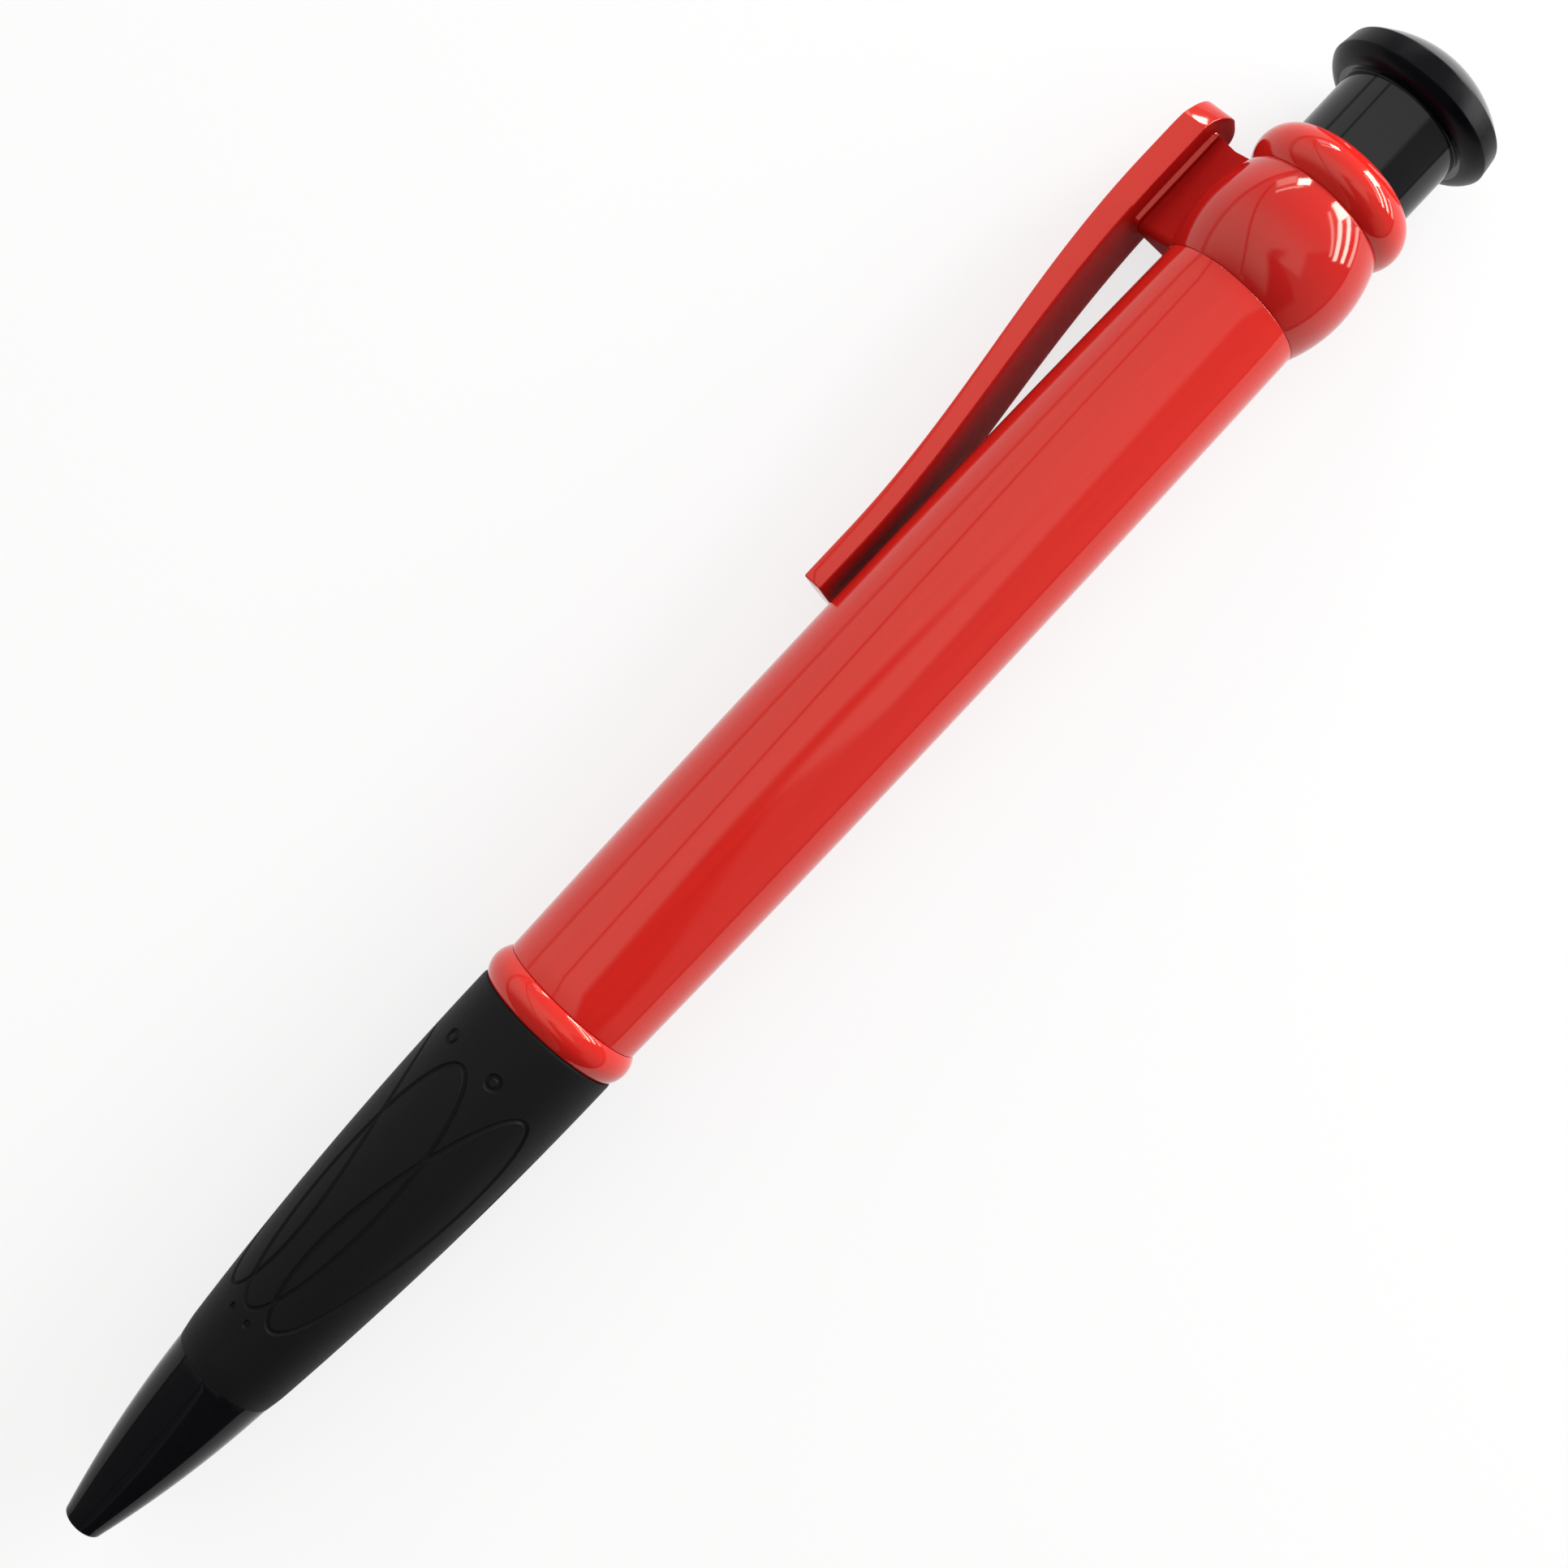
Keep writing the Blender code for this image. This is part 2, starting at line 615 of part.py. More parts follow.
def clip_plan():
    """The clip seen from outside: a shallow bow at its tip, a half ellipse at its other end."""
    half = CLIP_WIDTH / 2
    points = []
    for i in range(CLIP_ROUND_STEPS + 1):
        across = half * (2 * i / CLIP_ROUND_STEPS - 1)
        bow = CLIP_TIP_BOW * (across / half) ** 2
        points.append((CLIP_START + bow, -across))
    for side in (-1, 1):
        for i in range(CLIP_ROUND_STEPS + 1):
            angle = math.pi / 2 * i / CLIP_ROUND_STEPS
            if side > 0:
                angle = math.pi / 2 - angle
            along = CLIP_END - CLIP_END_ROUND * (1 - math.sin(angle))
            if abs(angle - math.pi / 2) > MERGE or side < 0:
                points.append((along, side * half * math.cos(angle)))
    return points


def make_sleeve(white):
    """Cam sleeve in the knob, with four ribs inside and a cap that keeps the plunger in."""
    outer = [
        (SLEEVE_START - SEAM - SLEEVE_FLANGE, SPIGOT_RADIUS),
        (SLEEVE_START - SEAM, SPIGOT_RADIUS),
        (SLEEVE_START - SEAM, SLEEVE_RADIUS),
        (SLEEVE_END, SLEEVE_RADIUS),
    ]
    inner = [
        (SLEEVE_START - SEAM - SLEEVE_FLANGE, SLEEVE_BORE),
        (SLEEVE_CAP_START, SLEEVE_BORE),
        (SLEEVE_CAP_START, BOSS_BORE),
        (SLEEVE_END, BOSS_BORE),
    ]
    sleeve = turned("cam_sleeve", outer, inner, white, INNER_SIDES)
    wall_middle = SLEEVE_BORE + SLEEVE_WALL / 2
    cap_middle = SLEEVE_CAP_START + SLEEVE_CAP / 2
    ribs = spokes("sleeve_ribs", RIB_RADIUS, wall_middle, RIB_WIDTH, RIB_END, cap_middle, -LUG_SLOPE, 0)
    boolean(sleeve, ribs, "UNION")


def make_button(gloss):
    """Push button: domed flange, hollow stem and a boss inside for the plunger's rod."""
    rim_back = FLANGE_RADIUS - FLANGE_TAPER
    ball = (rim_back * rim_back + CROWN_HEIGHT * CROWN_HEIGHT) / (2 * CROWN_HEIGHT)
    crown = round_arc((PEN_LENGTH - ball, 0), ball, math.pi / 2 - math.asin(rim_back / ball), math.pi / 2, 8)
    crown[-1] = (PEN_LENGTH, 0)
    outer = [(STEM_END, STEM_RADIUS)]
    outer += bulged((FLANGE_ROOT, STEM_RADIUS), (RIM_START, FLANGE_RADIUS), FLANGE_BULGE, 5)
    outer += crown
    inner = [
        (STEM_END, STEM_BORE),
        (FLANGE_ROOT, STEM_BORE),
        (BOSS_ROOF, STEM_BORE - STEM_WALL),
        (BOSS_ROOF, BOSS_RADIUS),
        (BOSS_FOOT, BOSS_RADIUS),
        (BOSS_FOOT, BOSS_BORE),
        (BOSS_ROOF, BOSS_BORE),
        (BOSS_ROOF, 0),
    ]
    turned("button", outer, inner, gloss, OUTER_SIDES)


def make_plunger(white):
    """Pusher: a rod in the button's boss, a crown with teeth, and lugs between the sleeve's ribs."""
    outer = [
        (CROWN_FOOT, CAM_RADIUS),
        (CROWN_TOP, CAM_RADIUS),
        (CROWN_TOP, PLUNGER_ROD),
        (ROD_TOP, PLUNGER_ROD),
        (ROD_TOP, 0),
    ]
    inner = [(CROWN_FOOT, CAM_BORE), (CROWN_TOP - SLEEVE_CAP, CAM_BORE), (CROWN_TOP - SLEEVE_CAP, 0)]
    plunger = made_mesh(turned("cam_plunger", outer, inner, white, INNER_SIDES))
    set_teeth(plunger, CROWN_FOOT)
    root = (CAM_RADIUS + CAM_BORE) / 2
    lugs = spokes("plunger_lugs", root, LUG_REACH, LUG_WIDTH, CROWN_FOOT + SEAM, CROWN_TOP - SEAM, 0, 0.5)
    boolean(plunger, lugs, "UNION")


def make_rotor(white):
    """Turning cam: teeth that mesh with the plunger's, and four slanted lugs."""
    outer = [(ROTOR_FOOT, CAM_RADIUS), (ROTOR_TOP, CAM_RADIUS)]
    inner = [(ROTOR_FOOT, CAM_BORE), (ROTOR_TOP, CAM_BORE)]
    rotor = made_mesh(turned("cam_rotor", outer, inner, white, INNER_SIDES))
    set_teeth(rotor, ROTOR_TOP)
    root = (CAM_RADIUS + CAM_BORE) / 2
    lugs = spokes("rotor_lugs", root, LUG_REACH, LUG_WIDTH, LUG_FOOT, LUG_TOP, LUG_SLOPE, 0.5)
    boolean(rotor, lugs, "UNION")


def make_thrust_tube(white):
    """Extension between the cam and the refill, with a socket for the refill's tail."""
    stub = CAM_BORE - SEAM
    outer = [
        (THRUST_START, THRUST_RADIUS),
        (THRUST_SHOULDER, THRUST_RADIUS),
        (THRUST_SHOULDER, stub),
        (ROTOR_FOOT + STUB_LENGTH, stub),
        (ROTOR_FOOT + STUB_LENGTH, 0),
    ]
    inner = [(THRUST_START, SOCKET_RADIUS), (SOCKET_END, SOCKET_RADIUS), (SOCKET_END, 0)]
    turned("thrust_tube", outer, inner, white, INNER_SIDES)


def make_refill(clear, white, brass):
    """Ink tube, its tail, the tip's holder and the metal tip."""
    outer = [(TUBE_START, REFILL_RADIUS), (TUBE_END, REFILL_RADIUS)]
    turned("refill_tube", outer, [(TUBE_START, REFILL_BORE), (TUBE_END, REFILL_BORE)], clear, SMALL_SIDES)
    plug = REFILL_BORE - SEAM
    tail = TUBE_END + SEAM
    outer = [(tail - TAIL_STUB, plug), (tail, plug), (tail, REFILL_RADIUS), (TAIL_END, REFILL_RADIUS)]
    inner = [(tail - TAIL_STUB, INK_CHANNEL), (TAIL_END, INK_CHANNEL)]
    turned("refill_tail", outer, inner, white, SMALL_SIDES)
    seat = TIP_STUB_RADIUS + SEAM
    holder_end = TUBE_START - SEAM
    outer = [
        (HOLDER_START, HOLDER_RADIUS),
        (holder_end, HOLDER_RADIUS),
        (holder_end, plug),
        (TUBE_START + HOLDER_STUB, plug),
    ]
    inner = [
        (HOLDER_START, seat),
        (HOLDER_START + TIP_STUB + SEAM, seat),
        (HOLDER_START + TIP_STUB + SEAM, INK_CHANNEL),
        (TUBE_START + HOLDER_STUB, INK_CHANNEL),
    ]
    turned("tip_holder", outer, inner, white, SMALL_SIDES)
    socket = BALL_RADIUS + BALL_CLEARANCE
    socket_end = BALL_CENTRE + BALL_RADIUS + BALL_CLEARANCE
    shank_end = HOLDER_START - SEAM
    outer = [
        (TIP_START, socket + TIP_LIP),
        (TIP_SHANK_START, TIP_RADIUS),
        (shank_end, TIP_RADIUS),
        (shank_end, TIP_STUB_RADIUS),
        (HOLDER_START + TIP_STUB, TIP_STUB_RADIUS),
    ]
    inner = [
        (TIP_START, socket),
        (socket_end, socket),
        (socket_end, INK_CHANNEL),
        (HOLDER_START + TIP_STUB, INK_CHANNEL),
    ]
    turned("refill_tip", outer, inner, brass, SMALL_SIDES)


def make_ball(steel):
    """Writing ball, with its origin at its own centre."""
    mesh = bpy.data.meshes.new("writing_ball")
    work = bmesh.new()
    bmesh.ops.create_uvsphere(work, u_segments=SMALL_SIDES, v_segments=SMALL_SIDES // 2, radius=BALL_RADIUS)
    work.to_mesh(mesh)
    work.free()
    ball = pen_object("writing_ball", mesh, steel, PARTS)
    ball.location = (BALL_CENTRE, 0, 0)


def make_spring_seat(white):
    """Ring on the refill that the spring pushes against."""
    end = SEAT_START + SEAT_THICKNESS
    bore = REFILL_RADIUS + SEAM
    turned("spring_seat", [(SEAT_START, SEAT_RADIUS), (end, SEAT_RADIUS)],
           [(SEAT_START, bore), (end, bore)], white, INNER_SIDES)


def make_spring(steel):
    """Return spring: one wire wound round the refill, from the nose's shoulder to the seat."""
    first = SPRING_SHOULDER + SEAM + SPRING_WIRE
    last = SEAT_START - SEAM - SPRING_WIRE
    count = SPRING_TURNS * COIL_POINTS
    points = []
    for i in range(count + 1):
        turn = 2 * math.pi * i / COIL_POINTS
        place = first + (last - first) * i / count
        points.append(Vector((SPRING_RADIUS * math.cos(turn), SPRING_RADIUS * math.sin(turn), place)))
    curve = bpy.data.curves.new("return_spring", "CURVE")
    curve.dimensions = "3D"
    curve.bevel_depth = SPRING_WIRE
    curve.bevel_resolution = 1
    curve.use_fill_caps = True
    spline = curve.splines.new("POLY")
    spline.points.add(count)
    for point, place in zip(spline.points, points):
        point.co = (*place, 1)
    spring = pen_object("return_spring", curve, steel, PARTS)
    spring.rotation_euler = (0, math.pi / 2, 0)
    apart = [
        (points[i] - points[j]).length
        for i in range(count + 1)
        for j in range(i + COIL_POINTS // 2 + 1, count + 1)
    ]
    print("return_spring least gap to itself, mm:", round((min(apart) - 2 * SPRING_WIRE) / MM, 3))


def make_guide(white):
    """Bush in the core that keeps the refill on the axis."""
    start = BARREL_START + GUIDE_INSET
    end = start + GUIDE_LENGTH
    rim = SPIGOT_RADIUS - CORE_WALL - SEAM
    bore = REFILL_RADIUS + SEAM
    hub = bore + TUBE_WALL
    outer = [(start, rim), (start + GUIDE_LENGTH / 3, rim), (start + GUIDE_LENGTH / 3, hub), (end, hub)]
    turned("refill_guide", outer, [(start, bore), (end, bore)], white, INNER_SIDES)


def main():
    """Build every part, from the nose to the button."""
    red = plastic("red_plastic", RED, 0.18)
    gloss = plastic("gloss_black_plastic", GLOSS_BLACK, 0.2)
    rubber = plastic("grip_rubber", RUBBER_BLACK, 0.7)
    core = plastic("core_plastic", CORE_BLACK, 0.45)
    white = plastic("cam_plastic", CAM_WHITE, 0.4)
    clear = plastic("ink_tube_plastic", TUBE_CLEAR, 0.3)
    brass = plastic("tip_brass", BRASS, 0.3, 1.0)
    steel = plastic("spring_steel", STEEL, 0.3, 1.0)
    make_nose(gloss)
    make_core(core)
    make_grip(rubber)
    make_collar(red)
    make_barrel(red)
    make_knob(red)
    make_ring(red)
    make_clip(red)
    make_sleeve(white)
    make_button(gloss)
    make_plunger(white)
    make_rotor(white)
    make_thrust_tube(white)
    make_refill(clear, white, brass)
    make_ball(steel)
    make_spring_seat(white)
    make_spring(steel)
    make_guide(white)


clear_scene()
PARTS = new_collection("jumbo_click_pen")
TOOLS = new_collection("cutters")
PEN = bpy.data.objects.new("pen_axis", None)
PARTS.objects.link(PEN)
PEN.location = AXIS_PLACE
PEN.rotation_euler = (-math.pi / 2 - CLIP_DROOP, 0, 0)
main()
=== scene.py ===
"""Looks of the jumbo click pen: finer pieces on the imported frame, their materials, light and camera.

Places along the pen are measured from the nose tip, heights from the pen's axis towards the clip,
and turns about the axis from the clip. Most sizes repeat those of the part's source.
"""
import math

import bmesh
import bpy
from mathutils import Matrix, Vector
from mathutils.geometry import delaunay_2d_cdt

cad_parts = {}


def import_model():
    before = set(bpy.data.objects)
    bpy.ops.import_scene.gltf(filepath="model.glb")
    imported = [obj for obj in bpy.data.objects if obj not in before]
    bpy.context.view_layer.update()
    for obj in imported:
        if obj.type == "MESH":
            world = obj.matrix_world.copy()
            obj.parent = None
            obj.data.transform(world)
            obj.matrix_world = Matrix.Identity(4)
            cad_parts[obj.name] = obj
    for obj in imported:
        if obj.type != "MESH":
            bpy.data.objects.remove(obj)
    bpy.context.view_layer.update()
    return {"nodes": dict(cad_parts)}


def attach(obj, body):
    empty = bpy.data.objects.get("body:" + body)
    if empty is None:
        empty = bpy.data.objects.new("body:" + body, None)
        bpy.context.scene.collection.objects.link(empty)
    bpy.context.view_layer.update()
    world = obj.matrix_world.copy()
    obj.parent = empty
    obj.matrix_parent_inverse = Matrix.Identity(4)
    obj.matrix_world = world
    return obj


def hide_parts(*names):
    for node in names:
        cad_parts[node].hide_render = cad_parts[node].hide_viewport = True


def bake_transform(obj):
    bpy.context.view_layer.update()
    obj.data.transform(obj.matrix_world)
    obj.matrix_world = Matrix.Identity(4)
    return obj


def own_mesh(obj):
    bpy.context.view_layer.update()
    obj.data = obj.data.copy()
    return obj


MM = 0.001

# Lengths along the axis.
NOSE_LENGTH = 29.55 * MM
GRIP_LENGTH = 66.2 * MM
COLLAR_LENGTH = 5.1 * MM
BARREL_LENGTH = 134.8 * MM
KNOB_LENGTH = 17.1 * MM
STEM_SHOWING = 10.6 * MM
STEM_HIDDEN = 8.6 * MM
FLANGE_CONE = 1.85 * MM
FLANGE_RIM = 2.95 * MM
CROWN_HEIGHT = 5.35 * MM
ROOF_DEPTH = 2.4 * MM
BOSS_DEPTH = 9.0 * MM
SPIGOT_LENGTH = 13.4 * MM
SEAM = 0.3 * MM
SEAM_SHOWN = 0.02 * MM

# Radii and bulges.
BODY_RADIUS = 11.55 * MM
BARREL_BULGE = 0.55 * MM
BARREL_BORE = 9.8 * MM
COLLAR_BULGE = 0.95 * MM
KNOB_BULGE = 1.88 * MM
NOSE_TIP_RADIUS = 3.15 * MM
NOSE_TIP_ROUND = 0.35 * MM
NOSE_BASE_RADIUS = 8.12 * MM
NOSE_BULGE = 0.65 * MM
GRIP_FRONT_RADIUS = 8.35 * MM
GRIP_BACK_RADIUS = 11.9 * MM
GRIP_BULGE = 0.9 * MM
GRIP_LIP = 0.17 * MM
GRIP_LIP_LENGTH = 2.6 * MM
GRIP_FRONT_EDGE = 0.1 * MM
GRIP_BACK_EDGE = 0.4 * MM
GRIP_WALL = 1.6 * MM
RING_CREST_RADIUS = 12.83 * MM
RING_TUBE = 4.5 * MM
RING_GROOVE = 1.34 * MM
BUTTON_BORE = 10.28 * MM
STEM_RADIUS = 9.98 * MM
STEM_BORE = 8.33 * MM
FLANGE_RADIUS = 13.7 * MM
FLANGE_TAPER = 0.4 * MM
FLANGE_BULGE = 0.65 * MM
SPIGOT_RADIUS = 9.5 * MM
SLEEVE_SEAT = 7.93 * MM
BOSS_BORE = 3.9 * MM
BOSS_RADIUS = 5.4 * MM
ROOF_RADIUS = 6.68 * MM

# Roundings of turned edges, by how far they reach.
HAIR_ROUND = 0.05 * MM
FINE_ROUND = 0.1 * MM
RIM_ROUND = 0.12 * MM
EDGE_ROUND = 0.15 * MM
SOFT_ROUND = 0.2 * MM
HOLE_ROUND = 0.25 * MM
WIDE_ROUND = 0.3 * MM
BORE_ROUND = 0.5 * MM

# Clip.
CLIP_WIDTH = 12.6 * MM
CLIP_REACH = 69.0 * MM
CLIP_FLAT = 8.7 * MM
CLIP_RISE = 6.3 * MM
CLIP_CREST = 7.1 * MM
CLIP_TIP_UNDER = 13.0 * MM
CLIP_TIP_THICKNESS = 3.2 * MM
CLIP_ROOT_THICKNESS = 4.2 * MM
CLIP_OVERHANG = 3.3 * MM
CLIP_TIP_BOW = 0.05 * MM
CLIP_TIP_BOW_REACH = 6.0 * MM
CLIP_END_CORNER = 1.0 * MM
CLIP_END_SIDE = 16.0 * MM
CLIP_END_TURNS = (math.radians(20), math.radians(28))
CLIP_END_STOP = math.radians(88.5)
CLIP_END_DROOP = 0.5 * MM
CLIP_DROOP_BEFORE = 8.0 * MM
CLIP_DROOP_AFTER = 2.0 * MM
CLIP_END_GROWTH = 0.8 * MM
CLIP_GROWTH_BEFORE = 1.0 * MM
CLIP_END_EDGE = 1.0 * MM
CLIP_END_LIMIT = 0.999
CLIP_UNDER_FALL = 0.5
CLIP_EDGE = 0.25 * MM
CLIP_EDGE_SHARE = 0.8
CLIP_STEP = 1.2 * MM
CLIP_FINE_STEP = 0.16 * MM
CLIP_FINE_REACH = 2.0 * MM
CLIP_UNDER_SHARES = (
    1.0, 0.8, 0.6, 0.5, 0.47, 0.45, 0.43, 0.415, 0.4, 0.385, 0.365, 0.35, 0.335, 0.31, 0.27, 0.2, 0.1,
)
FOOT_INSET = 0.2 * MM
FOOT_LAP = 0.8 * MM
FOOT_HALF_WIDTH = 2.3 * MM
FOOT_UNDER = 17.6 * MM
FOOT_CORNER = 0.8 * MM
FOOT_SLOPE = 5
FOOT_REACH = 3.0 * MM
FOOT_BLEND = 0.5 * MM
FOOT_FRONT_BLEND = 1.2 * MM
FOOT_FRONT_HALF = 1.0 * MM
PEDESTAL_HALF_WIDTH = 1.4 * MM
PEDESTAL_TOP = 17.58 * MM
PEDESTAL_ROOT = 10.9 * MM
PEDESTAL_DRAFT = 0.36
PEDESTAL_LEAN = 3.6 * MM
PEDESTAL_ROUND = 1.25 * MM
PEDESTAL_CORNER = 0.25 * MM
PEDESTAL_EDGE = 0.1 * MM

# Faces of the clip in the darker low-gloss red, painted shade: how far they look inwards, under the clip
# and on the front of its foot.
PAINTED_SHADE_UNDER = 0.7
PAINTED_SHADE_FRONT = 0.1
PAINTED_SHADE_FRONT_REACH = 0.5 * MM

# Grip engraving: three leaves a fan, one fan on each mould half.
LEAF_START = 41.15 * MM
LEAF_END = 85.65 * MM
LEAF_HALF_WIDTH = math.radians(28.5)
LEAF_LEAN = 0.06
LEAF_BEND = 0.04
FAN_NEAR = math.radians(29.0)
FAN_SPREAD = math.radians(28.7)
FAN_TURN = math.radians(-83.0)
GROOVE_HALF_WIDTH = 0.42 * MM
GROOVE_FLOOR = 0.1 * MM
GROOVE_DEPTH = 0.3 * MM
RING_MARK_PLACE = 87.15 * MM
RING_MARK_TURN = math.radians(23.0)
RING_MARK_RADIUS = 0.95 * MM
DOT_MARK_PLACE = 39.45 * MM
DOT_MARK_TURN = math.radians(10.5)
DOT_MARK_RADIUS = 0.7 * MM
DOT_LINE_SHARE = 0.4

# Mesh of the grip. The rows at its ends, the clear strip along a groove and the largest distance that
# is told apart are in millimetres.
GRIP_GRID = 1.1 * MM
GRIP_COLUMNS = 32
GRIP_END_ROWS = (0, 0.04, 0.12, 0.25, 0.5)
GRIP_END_REACH = 0.5 * MM
LEAF_STEP = 0.55 * MM
LEAF_POINTS = 200
MARK_SIDES = 24
GROOVE_CLEAR = 0.9
GROOVE_FAR = 3.0
CELL_REACH = 2
FLAT_TOLERANCE = 1e-4
SLEEVE_STEPS = 12
WELD = 0.002 * MM

# Inner sizes that show at the nose's hole and when the button is pressed.
TIP_HOLE = 1.6 * MM
HOLDER_CAVITY = 2.35 * MM
SPRING_CAVITY = 3.5 * MM
NOSE_END_WALL = 2.0 * MM
SPRING_SHOULDER = 9.0 * MM
NOSE_SOCKET = 8.5 * MM
NOSE_WALL = 1.1 * MM
SPRING_LENGTH = 23.4 * MM
SPRING_RADIUS = 2.9 * MM
SPRING_WIRE = 0.3 * MM
SPRING_TURNS = 12
SPRING_END_LEAD = 2.1
SPRING_STROKE = 9.0 * MM
BALL_PLACE = 4.1 * MM
BALL_RADIUS = 0.6 * MM

# Outline of the refill's tip in millimetres: place, radius and rounding.
TIP_OUTLINE = (
    (3.9, 0.88, 0.05),
    (5.2, 1.0, 0.05),
    (5.2, 1.04, 0.02),
    (7.5, 1.15, 0.1),
    (11.8, 1.15, 0.1),
    (11.8, 0.8, 0),
    (15.5, 0.8, 0.1),
    (15.5, 0.3, 0),
    (4.78, 0.3, 0),
    (4.78, 0.68, 0.1),
    (3.9, 0.68, 0.05),
)

# How finely each curve is drawn.
OUTER_SIDES = 128
TIP_SIDES = 48
NOSE_TIP_STEPS = 6
NOSE_STEPS = 24
COLLAR_STEPS = 16
BARREL_STEPS = 40
KNOB_STEPS = 56
RING_STEPS = 32
CROWN_STEPS = 24
FLANGE_STEPS = 10
PEDESTAL_STEPS = 8
CLIP_TIP_STEPS = 5
CLIP_END_STEPS = 8
CLIP_TOP_STEPS = 8
SPRING_STEPS = 28
SPRING_SIDES = 10
BALL_SPLITS = 4
CORNER_STEPS = 4
CORNER_SHARE = 0.45
SHARP_ANGLE = math.radians(32)
TINY = 1e-7
NO_LENGTH = 1e-12

# Places that follow.
GRIP_START = NOSE_LENGTH
COLLAR_START = GRIP_START + GRIP_LENGTH
GRIP_END = COLLAR_START - SEAM_SHOWN
BARREL_START = COLLAR_START + COLLAR_LENGTH
KNOB_START = BARREL_START + BARREL_LENGTH
RING_START = KNOB_START + KNOB_LENGTH
RING_CENTRE_RADIUS = RING_CREST_RADIUS - RING_TUBE
RING_FRONT_ANGLE = math.acos((RING_TUBE - RING_GROOVE) / RING_TUBE)
RING_BACK_ANGLE = math.acos((BUTTON_BORE - RING_CENTRE_RADIUS) / RING_TUBE)
RING_CREST = RING_START + RING_TUBE * math.sin(RING_FRONT_ANGLE)
RING_END = RING_CREST + RING_TUBE * math.sin(RING_BACK_ANGLE)
FLANGE_ROOT = RING_END + STEM_SHOWING
RIM_START = FLANGE_ROOT + FLANGE_CONE
RIM_END = RIM_START + FLANGE_RIM
PEN_LENGTH = RIM_END + CROWN_HEIGHT
CLIP_START = KNOB_START - CLIP_REACH
FOOT_START = KNOB_START + FOOT_INSET
FOOT_END = RING_START - FOOT_INSET + FOOT_LAP
CLIP_END = FOOT_END + CLIP_OVERHANG
CLIP_TOP = CLIP_TIP_UNDER + CLIP_TIP_THICKNESS + CLIP_RISE

# The pen lies on the button's flange and the clip's lower edge.
CLIP_CORNER = math.hypot(CLIP_TOP, CLIP_WIDTH / 2)
DROOP = math.asin(FLANGE_RADIUS / CLIP_CORNER) - math.atan2(CLIP_WIDTH / 2, CLIP_TOP)
CLIP_SIDE_REACH = CLIP_TOP * math.cos(DROOP) + CLIP_WIDTH / 2 * math.sin(DROOP)
AXIS_Y = (FLANGE_RADIUS - CLIP_SIDE_REACH) / 2
AXIS_Z = FLANGE_RADIUS

# Camera: almost straight above, leaning to the clip's side.
CAMERA_PLACE = 149.55 * MM
CAMERA_DISTANCE = 294.9 * MM
CAMERA_LEAN = DROOP - math.radians(17.0)
CAMERA_ROLL = math.radians(46.73)
CAMERA_LENS = 48.02
CAMERA_SENSOR = 36
CAMERA_NEAR = 0.01
CAMERA_SHIFT = (-0.01664, -0.0225)

# Floor: its reach, its tone, how much of it shows as plain white near the pen, where the rest keeps the
# shadow, and the distances over which it turns wholly white.
FLOOR_REACH = 8.0
FLOOR_TONE = 0.9
FLOOR_WHITE = 0.75
FLOOR_FADE = (0.4, 1.2)

# Room light: brightness over the clip's side and the far side, and its share that lights the pen.
NEAR_LEVEL = 1.2
FAR_LEVEL = 0.42
ROOM_SHARE = 1.2
ROOM_COLOUR = (1.0, 0.995, 0.98, 1.0)

# Borders in the room light, each by its slope and offset in lean over the share along the pen, with the
# lean at which the dark wedge ends.
WEDGE_UPPER = ((1.7, 0.281), (-1.9, 0.205))
WEDGE_UPPER_END = 0.17
WEDGE_LOWER = (6.8, 0.1)
WEDGE_LOWER_ENDS = (-0.97, -0.07)
SIDE_BORDERS = ((0.87, -0.67), (-7.2, -0.4))
CEILING_BORDER = (0.874, 0.767)
STRIP_BORDER = (2.8, 1.66)

# Steps in the room light: where each starts and ends, and its levels there.
SIDE_STEP = (-0.09, 0.09, FAR_LEVEL, NEAR_LEVEL)
WEDGE_UNDER = (-0.15, 0.11, 0.0, 1.0)
WEDGE_OVER = (-0.16, 0.16, 0.0, 1.0)
WEDGE_SHADE = (0.0, 1.0, 1.0, 0.2)
CEILING_EDGE = (0.012, 0.04, 0.15, 1.0)
HORIZON = (1.44, 1.5, 1.0, 0.4)
FAR_HORIZON = (-1.56, -1.46, 0.3, 1.0)
FRONT_FALL = (-0.6, -0.15, 0.15, 1.0)
BACK_FALL = (0.15, 0.6, 1.0, 0.5)
STRIP_SHADE = (-0.03, 0.03, 0.15, 1.0)
STRIP_LIGHT = (0.02, 0.06, 4.0, 1.0)
STRIP_END = (-0.5, -0.4, 1.0, 0.0)

# Colours of the materials, each as a pair that the grain runs between.
RED = ((0.61, 0.0155, 0.0115, 1), (0.64, 0.0175, 0.0125, 1))
KNOB_RED = ((0.51, 0.0115, 0.0095, 1), (0.54, 0.0125, 0.0105, 1))
RED_GLOSS = (1.0, 0.98, 0.82, 1)
# Darker red for the pedestal and the clip's inner side: painted shade under the clip's overhang.
MATT_RED_PAINTED_SHADE = ((0.42, 0.0105, 0.0085, 1), (0.45, 0.0115, 0.0095, 1))
NOSE_BLACK = ((0.0038, 0.004, 0.005, 1), (0.0048, 0.005, 0.006, 1))
BLACK = ((0.0022, 0.0024, 0.0035, 1), (0.003, 0.0032, 0.0045, 1))
RUBBER = ((0.0055, 0.0055, 0.006, 1), (0.0075, 0.0075, 0.008, 1))
CORE = ((0.015, 0.015, 0.016, 1), (0.022, 0.022, 0.024, 1))
WHITE = ((0.72, 0.71, 0.67, 1), (0.78, 0.77, 0.73, 1))
INK = ((0.05, 0.06, 0.12, 1), (0.07, 0.08, 0.16, 1))
BRASS = ((0.68, 0.47, 0.19, 1), (0.78, 0.58, 0.28, 1))
STEEL = ((0.52, 0.53, 0.55, 1), (0.6, 0.61, 0.63, 1))

